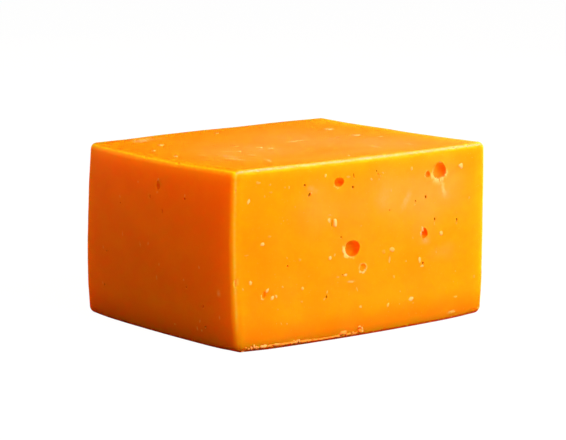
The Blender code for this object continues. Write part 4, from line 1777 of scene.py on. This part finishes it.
@dataclass(frozen=True)
class Waxiness:
    """How light goes into the cheese and off it. scale is how far the light spreads inside."""

    radius: Colour = (1.0, 0.06, 0.02)
    scale: float = 20.0 * MM
    weight: float = 1.0
    specular: float = 0.15
    sheen: Colour = (1.0, 0.65, 0.02)
    ior: float = 1.45

    def surface(self, bench: Bench, sockets: dict[str, Any]) -> Shade:
        """Adds the cheese's shader.

        Args:
            bench: The material it is for.
            sockets: Its colour, roughness and bump.

        Returns:
            The shader.
        """
        own = {
            "Subsurface Weight": self.weight,
            "Subsurface Radius": self.radius,
            "Subsurface Scale": self.scale,
            "Specular IOR Level": self.specular,
            "Specular Tint": (*self.sheen, 1),
            "IOR": self.ior,
        }
        return bench.node("ShaderNodeBsdfPrincipled", {}, sockets | own, "BSDF")


@dataclass(frozen=True)
class CheddarFinish:
    """Waxy orange cheese with rubbed patches, painted sheen, saturated painted shade in its eyes and
    pits and towards its foot, and painted glow and highlights along its edges.

    Values called levels are a base and what a noise adds to it. Values called ramp are where a mark
    or a noise begins to count and where it is full, and then what those two ends give. Heights are
    ramps in millimetres above the base.
    """

    waxiness: Waxiness
    deep: Colour = (0.95, 0.262, 0.0006)
    light: Colour = (0.97, 0.297, 0.001)
    # Painted sheen: the bright surroundings reflected by the front and the top.
    painted_sheen_colour: Colour = (0.97, 0.32, 0.045)
    rubbed: Colour = (1.0, 0.36, 0.115)
    grazed: Colour = (1.0, 0.53, 0.12)
    # Torn curd; on the lit side of eye rims also a painted highlight.
    torn: Colour = (0.98, 0.50, 0.15)
    # Painted glow: light through the thin cheese at edges and eye roofs, yellow, and redder near the
    # foot.
    painted_glow: Colour = (0.97, 0.72, 0.006)
    painted_foot_glow: Colour = (0.985, 0.36, 0.003)
    # Painted highlight on the crests of the edges.
    crest: Colour = (0.98, 0.44, 0.27)
    # Painted shade, deepening the colour towards the foot.
    low: Colour = (0.87, 0.145, 0.0004)
    # Painted shade along the base, where the rounded underside turns from the light.
    sole_shade: Colour = (0.95, 0.04, 0.0003)
    # Painted shade on the walls of eyes and on shaded patches.
    hollow_shade: Colour = (0.74, 0.15, 0.0006)
    # Painted shade in the bottoms of pits.
    pit_shade_colour: Colour = (0.30, 0.12, 0.001)

    clouds: Grain = Grain(14.0, 3)
    curd: Grain = Grain(1.1, 3, 0.6)
    drag: Grain = Grain(1.0, 2)
    drag_stretch: Colour = (0.5, 0.5, 9.0)
    patches: Grain = Grain(4.5, 3, 0.55)
    fine: Grain = Grain(0.7, 3, 0.6)
    specks: Grain = Grain(0.55, 1, 0.5)
    ragged: Grain = Grain(1.6, 3, 0.6)
    relief: Grain = Grain(0.9, 4, 0.6)

    mottle_shares: Span = (0.7, 0.3)
    mottle_ramp: Span = (0.35, 0.65)
    painted_sheen_levels: Span = (0.4, 1.2)
    drag_levels: Span = (0.85, 0.3)
    rub_levels: Span = (0.35, 1.1)
    rub_ramp: Span = (0.05, 0.9)
    graze_levels: Span = (0.5, 0.9)
    graze_ramp: Span = (0.05, 0.9)
    speck_ramp: Ramp = (0.70, 0.80, 0, 0.35)
    pale_levels: Span = (0.6, 0.7)
    pale_ramp: Span = (0.05, 0.85)
    rim_levels: Span = (0.75, 0.4)
    crest_levels: Span = (0.2, 1.4)
    crest_ramp: Span = (0.05, 1.0)

    # Heights of the painted shade towards the foot, of the redder painted glow, of the darker painted
    # shade just above the base, of the painted highlight's fading, and of the painted shade along the
    # base.
    foot_height: Ramp = (0.0, 11.5, 0.85, 0.0)
    foot_glow_height: Ramp = (2.0, 16.0, 0.0, 1.0)
    dim_height: Ramp = (0.5, 3.0, 0.45, 0.0)
    crest_height: Ramp = (0.0, 14.0, 0.1, 1.0)
    sole_shade_height: Ramp = (0.65, 1.15, 0.9, 0.0)

    rough_levels: Span = (0.40, 0.10)
    rubbed_rough: float = 0.12
    relief_shares: tuple[float, float, float] = (0.5, 0.25, 0.6)
    relief_height: float = 0.05 * MM

    def ground(self, bench: Bench, place: Shade, curd: Shade, height: Shade) -> Shade:
        """The cheese's own colour, slightly clouded, with painted shade deepening it towards the foot.

        Args:
            bench: The material it is for.
            place: The place in millimetres.
            curd: The fine noise of the curd.
            height: The height above the base, in millimetres.

        Returns:
            The colour.
        """
        cloud_share, curd_share = self.mottle_shares
        mottle = bench.noise(place, self.clouds) * cloud_share + curd * curd_share
        colour = bench.mix(mottle.ramp(*self.mottle_ramp), self.deep, self.light)
        # Painted shade towards the foot.
        return bench.mix(height.ramp(*self.foot_height), colour, self.low)

    def handled(self, bench: Bench, place: Shade, colour: Shade, fine: Shade, drag: Shade) -> Shade:
        """Lays painted sheen, rubbed and grazed places and single specks over a colour.

        Args:
            bench: The material it is for.
            place: The place in millimetres.
            colour: The colour so far.
            fine: The noise that breaks up the marks.
            drag: The streaks of the cut.

        Returns:
            The new colour.
        """
        patches = bench.noise(place, self.patches)
        # Painted sheen, broken by patches and the streaks of the cut.
        haze = bench.mark(HAZE) * patches.levels(*self.painted_sheen_levels)
        colour = bench.mix(haze * drag.levels(*self.drag_levels), colour, self.painted_sheen_colour)
        rub = bench.mark(RUB) * fine.levels(*self.rub_levels)
        colour = bench.mix(rub.ramp(*self.rub_ramp), colour, self.rubbed)
        graze = bench.mark(GRAZE) * fine.levels(*self.graze_levels)
        colour = bench.mix(graze.ramp(*self.graze_ramp), colour, self.grazed)
        speck = bench.noise(place, self.specks).ramp(*self.speck_ramp)
        return bench.mix(speck, colour, self.rubbed)

    def opened(self, bench: Bench, colour: Shade, pale: Shade) -> Shade:
        """Lays torn curd, with the painted highlight on the lit side of eye rims, and the painted shade
        of recesses and pits over a colour.

        Args:
            bench: The material it is for.
            colour: The colour so far.
            pale: How torn the curd is, with the painted highlight on the lit side of eye rims.

        Returns:
            The new colour.
        """
        colour = bench.mix(pale.ramp(*self.pale_ramp), colour, self.torn)
        # Painted shade in eyes and on shaded patches.
        colour = bench.mix(bench.mark(CAVITY), colour, self.hollow_shade)
        # Darker painted shade in the bottoms of pits.
        return bench.mix(bench.mark(DARK), colour, self.pit_shade_colour)

    def edged(self, bench: Bench, place: Shade, colour: Shade, height: Shade) -> Shade:
        """Lays the painted glow and painted highlight of the edges, and painted shade towards the foot
        and along the base, over a colour.

        Args:
            bench: The material it is for.
            place: The place in millimetres.
            colour: The colour so far.
            height: The height above the base, in millimetres.

        Returns:
            The new colour.
        """
        ragged = bench.noise(place, self.ragged)
        # Painted glow, redder near the foot.
        rim = bench.mark(RIM) * ragged.levels(*self.rim_levels)
        glow = bench.mix(height.ramp(*self.foot_glow_height), self.painted_foot_glow, self.painted_glow)
        colour = bench.mix(rim, colour, glow)
        # Darker painted shade in the last few millimetres above the base.
        colour = bench.mix(height.ramp(*self.dim_height), colour, self.low)
        # Painted highlight on the crests of the edges, fading towards the foot.
        crest = bench.mark(CREST) * ragged.levels(*self.crest_levels)
        crest = crest * height.ramp(*self.crest_height)
        colour = bench.mix(crest.ramp(*self.crest_ramp), colour, self.crest)
        # Painted shade along the base.
        return bench.mix(height.ramp(*self.sole_shade_height), colour, self.sole_shade)

    def material(self) -> bpy.types.Material:
        """Builds the material.

        Returns:
            The material of the body.
        """
        bench = Bench("cheddar_cut_face")
        place = bench.millimetres()
        height = bench.node("ShaderNodeSeparateXYZ", {}, {0: place}, "Z")
        curd = bench.noise(place, self.curd)
        fine = bench.noise(place, self.fine)
        drag = bench.noise(bench.millimetres(self.drag_stretch), self.drag)
        pale = bench.mark(PALE) * fine.levels(*self.pale_levels)
        colour = self.ground(bench, place, curd, height)
        colour = self.handled(bench, place, colour, fine, drag)
        colour = self.opened(bench, colour, pale)
        colour = self.edged(bench, place, colour, height)
        rough = curd.levels(*self.rough_levels) + bench.mark(RUB) * self.rubbed_rough
        grain_share, drag_share, pale_share = self.relief_shares
        relief = grain_share * bench.noise(place, self.relief) + drag_share * drag
        relief = relief + pale_share * pale * fine
        bump = bench.bump(relief, self.relief_height)
        sockets = {"Base Color": colour, "Roughness": rough, "Normal": bump}
        return bench.finish(self.waxiness.surface(bench, sockets))


@dataclass(frozen=True)
class CurdFinish:
    """Pale torn curd, from nearly the body's orange to cream."""

    name: str
    waxiness: Waxiness
    orange: Colour = (0.97, 0.27, 0.015)
    cream: Colour = (0.98, 0.455, 0.135)
    grain: Grain = Grain(0.35, 3, 0.6)
    tone_spread: float = 0.25
    rough_levels: Span = (0.42, 0.12)
    relief_height: float = 0.04 * MM

    def material(self) -> bpy.types.Material:
        """Builds the material.

        Returns:
            The material of flecks or crumbs.
        """
        bench = Bench(self.name)
        grain = bench.noise(bench.millimetres(), self.grain)
        tone = bench.attribute(TONE) + self.tone_spread * (grain - 0.5)
        colour = bench.mix(tone.ramp(0.0, 1.0), self.orange, self.cream)
        rough = grain.levels(*self.rough_levels)
        bump = bench.bump(grain, self.relief_height)
        sockets = {"Base Color": colour, "Roughness": rough, "Normal": bump}
        return bench.finish(self.waxiness.surface(bench, sockets))


def direction(azimuth: float, elevation: float) -> Vector:
    """Finds the way from the block to a place round it.

    Args:
        azimuth: Degrees from the front to the block's right.
        elevation: Degrees up.

    Returns:
        The unit vector.
    """
    turn, lift = math.radians(azimuth), math.radians(elevation)
    return Vector(
        (math.sin(turn) * math.cos(lift), -math.cos(turn) * math.cos(lift), math.sin(lift))
    )


@dataclass(frozen=True)
class Softbox:
    """A soft rectangular light: where it stands round the block, its size, and its brightness.

    azimuth and elevation are in degrees. level is how bright a white surface that faces it is.
    """

    name: str
    azimuth: float
    elevation: float
    distance: float
    width: float
    height: float
    level: float
    tint: Colour = (1, 1, 1)

    def build(self, middle: Vector) -> None:
        """Makes the light, aimed at the middle of the block.

        Args:
            middle: The middle of the block.
        """
        away = direction(self.azimuth, self.elevation)
        data = bpy.data.lights.new(self.name, "AREA")
        data.shape = "RECTANGLE"
        data.size = self.width
        data.size_y = self.height
        data.energy = self.level * math.pi**2 * self.distance**2
        data.color = self.tint
        light = linked(self.name, data)
        light.location = middle + away * self.distance
        light.rotation_euler = away.to_track_quat("Z", "Y").to_euler()


@dataclass(frozen=True)
class Studio:
    """White floor and surroundings, soft lights, and the camera of the photo.

    nearest and farthest say what the camera sees, as shares of its distance.
    """

    form: BlockForm
    azimuth: float = -37.69
    elevation: float = 9.62
    roll: float = -0.371
    distance: float = 757.2 * MM
    aside: float = -0.27 * MM
    above: float = 2.44 * MM
    lens: float = 147.75
    sensor: float = 36.0
    nearest: float = 0.1
    farthest: float = 40
    floor_side: float = 12.0
    glow: float = 0.985
    floor_white: float = 0.06
    bounce: float = 0.06
    surround: Colour = (0.05, 0.03, 0.006)
    softboxes: tuple[Softbox, ...] = (
        Softbox("key", 14, 34, 0.75, 0.45, 0.45, 1.6),
        Softbox("front", -12, 4, 0.75, 0.5, 0.3, 0.25),
        Softbox("fill", -58, 24, 0.8, 0.6, 0.4, 0.3, (1.0, 0.38, 0.06)),
        Softbox("near_fill", -88, 48, 0.2, 0.12, 0.12, 0.26, (1.0, 0.42, 0.06)),
        Softbox("side", 93, 3, 0.5, 0.3, 0.1, 0.6, (1.0, 1.0, 0.3)),
        Softbox("rim", 118, 24, 0.8, 0.35, 0.5, 0.2, (1.0, 1.0, 0.4)),
        Softbox("top", 70, 80, 0.8, 0.5, 0.5, 0.12),
        Softbox("back", 184, 10, 0.9, 0.6, 0.4, 0.6, (1.0, 0.4, 0.1)),
    )

    def camera(self) -> None:
        """Makes the camera: a long lens, low over the block and turned to its near corner."""
        back = direction(self.azimuth, self.elevation)
        level = direction(self.azimuth + 90, 0)
        upright = back.cross(level)
        target = Vector(self.form.middle) + level * self.aside + upright * self.above
        data = bpy.data.cameras.new("camera")
        data.lens = self.lens
        data.sensor_width = self.sensor
        data.clip_start = self.distance * self.nearest
        data.clip_end = self.distance * self.farthest
        camera = linked("camera", data)
        turned = Matrix((level, upright, back)).transposed().to_4x4()
        rolled = turned @ Matrix.Rotation(math.radians(self.roll), 4, "Z")
        camera.matrix_world = Matrix.Translation(target + back * self.distance) @ rolled
        bpy.context.scene.camera = camera

    def floor_material(self) -> bpy.types.Material:
        """Near white to the camera, with a faint shadow, and dim in the light it gives back.

        Returns:
            The material.
        """
        bench = Bench("white_floor")
        seen = bench.node("ShaderNodeLightPath", {}, {}, "Is Camera Ray")
        glow = bench.node("ShaderNodeEmission", {}, {"Strength": self.glow}, "Emission")
        greys = [(grey, grey, grey, 1) for grey in (self.floor_white, self.bounce)]
        white, dim = (
            bench.node("ShaderNodeBsdfDiffuse", {}, {"Color": grey}, "BSDF") for grey in greys
        )
        shown = bench.node("ShaderNodeAddShader", {}, {0: glow, 1: white})
        return bench.finish(bench.node("ShaderNodeMixShader", {}, {0: seen, 1: dim, 2: shown}))

    def floor(self) -> None:
        """Makes the floor under the block."""
        bm = bmesh.new()
        bmesh.ops.create_grid(bm, x_segments=1, y_segments=1, size=self.floor_side / 2)
        mesh = mesh_of(bm, "floor")
        mesh.materials.append(self.floor_material())
        linked("floor", mesh)

    def surroundings(self) -> None:
        """Makes the world: white behind the block, dim where it lights the block."""
        world = bpy.data.worlds.new("studio")
        world.use_nodes = True
        tree = world.node_tree
        lighting = tree.nodes["Background"]
        lighting.inputs["Color"].default_value = (*self.surround, 1)
        backdrop = tree.nodes.new("ShaderNodeBackground")
        backdrop.inputs["Color"].default_value = (1, 1, 1, 1)
        path = tree.nodes.new("ShaderNodeLightPath")
        choice = tree.nodes.new("ShaderNodeMixShader")
        tree.links.new(path.outputs["Is Camera Ray"], choice.inputs["Fac"])
        tree.links.new(lighting.outputs["Background"], choice.inputs[1])
        tree.links.new(backdrop.outputs["Background"], choice.inputs[2])
        tree.links.new(choice.outputs["Shader"], tree.nodes["World Output"].inputs["Surface"])
        bpy.context.scene.world = world

    def build(self) -> None:
        """Makes the whole studio."""
        bpy.context.scene.view_settings.view_transform = "Standard"
        self.floor()
        self.surroundings()
        for softbox in self.softboxes:
            softbox.build(Vector(self.form.middle))
        self.camera()


def settle(piece: bpy.types.Object, material: bpy.types.Material) -> None:
    """Gives a piece its material, lets it ride on the block and reports it.

    Args:
        piece: The piece.
        material: Its material.
    """
    piece.data.materials.append(material)
    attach(piece, BODY)
    LOG.info("%s: %d faces", piece.name, len(piece.data.polygons))


def main() -> None:
    """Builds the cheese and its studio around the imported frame."""
    logging.basicConfig(level=logging.INFO, format="%(name)s: %(message)s")
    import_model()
    form = BlockForm(half=np.array(BLOCK) * MM / 2)
    body = CheddarBody(form, Nicks(form)).build()
    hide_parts(NODE)
    settle(body, CheddarFinish(Waxiness()).material())
    thin = Waxiness(radius=(1.0, 0.5, 0.2), scale=0.3 * MM, weight=0.3)
    settle(CurdFlecks(form).build(), CurdFinish("curd_fleck", thin).material())
    torn = CurdFinish("torn_curd", thin, orange=(0.97, 0.24, 0.02), cream=(0.98, 0.42, 0.12))
    settle(EdgeCrumbs(form).build(), torn.material())
    Studio(form).build()


if __name__ == "__main__":
    main()
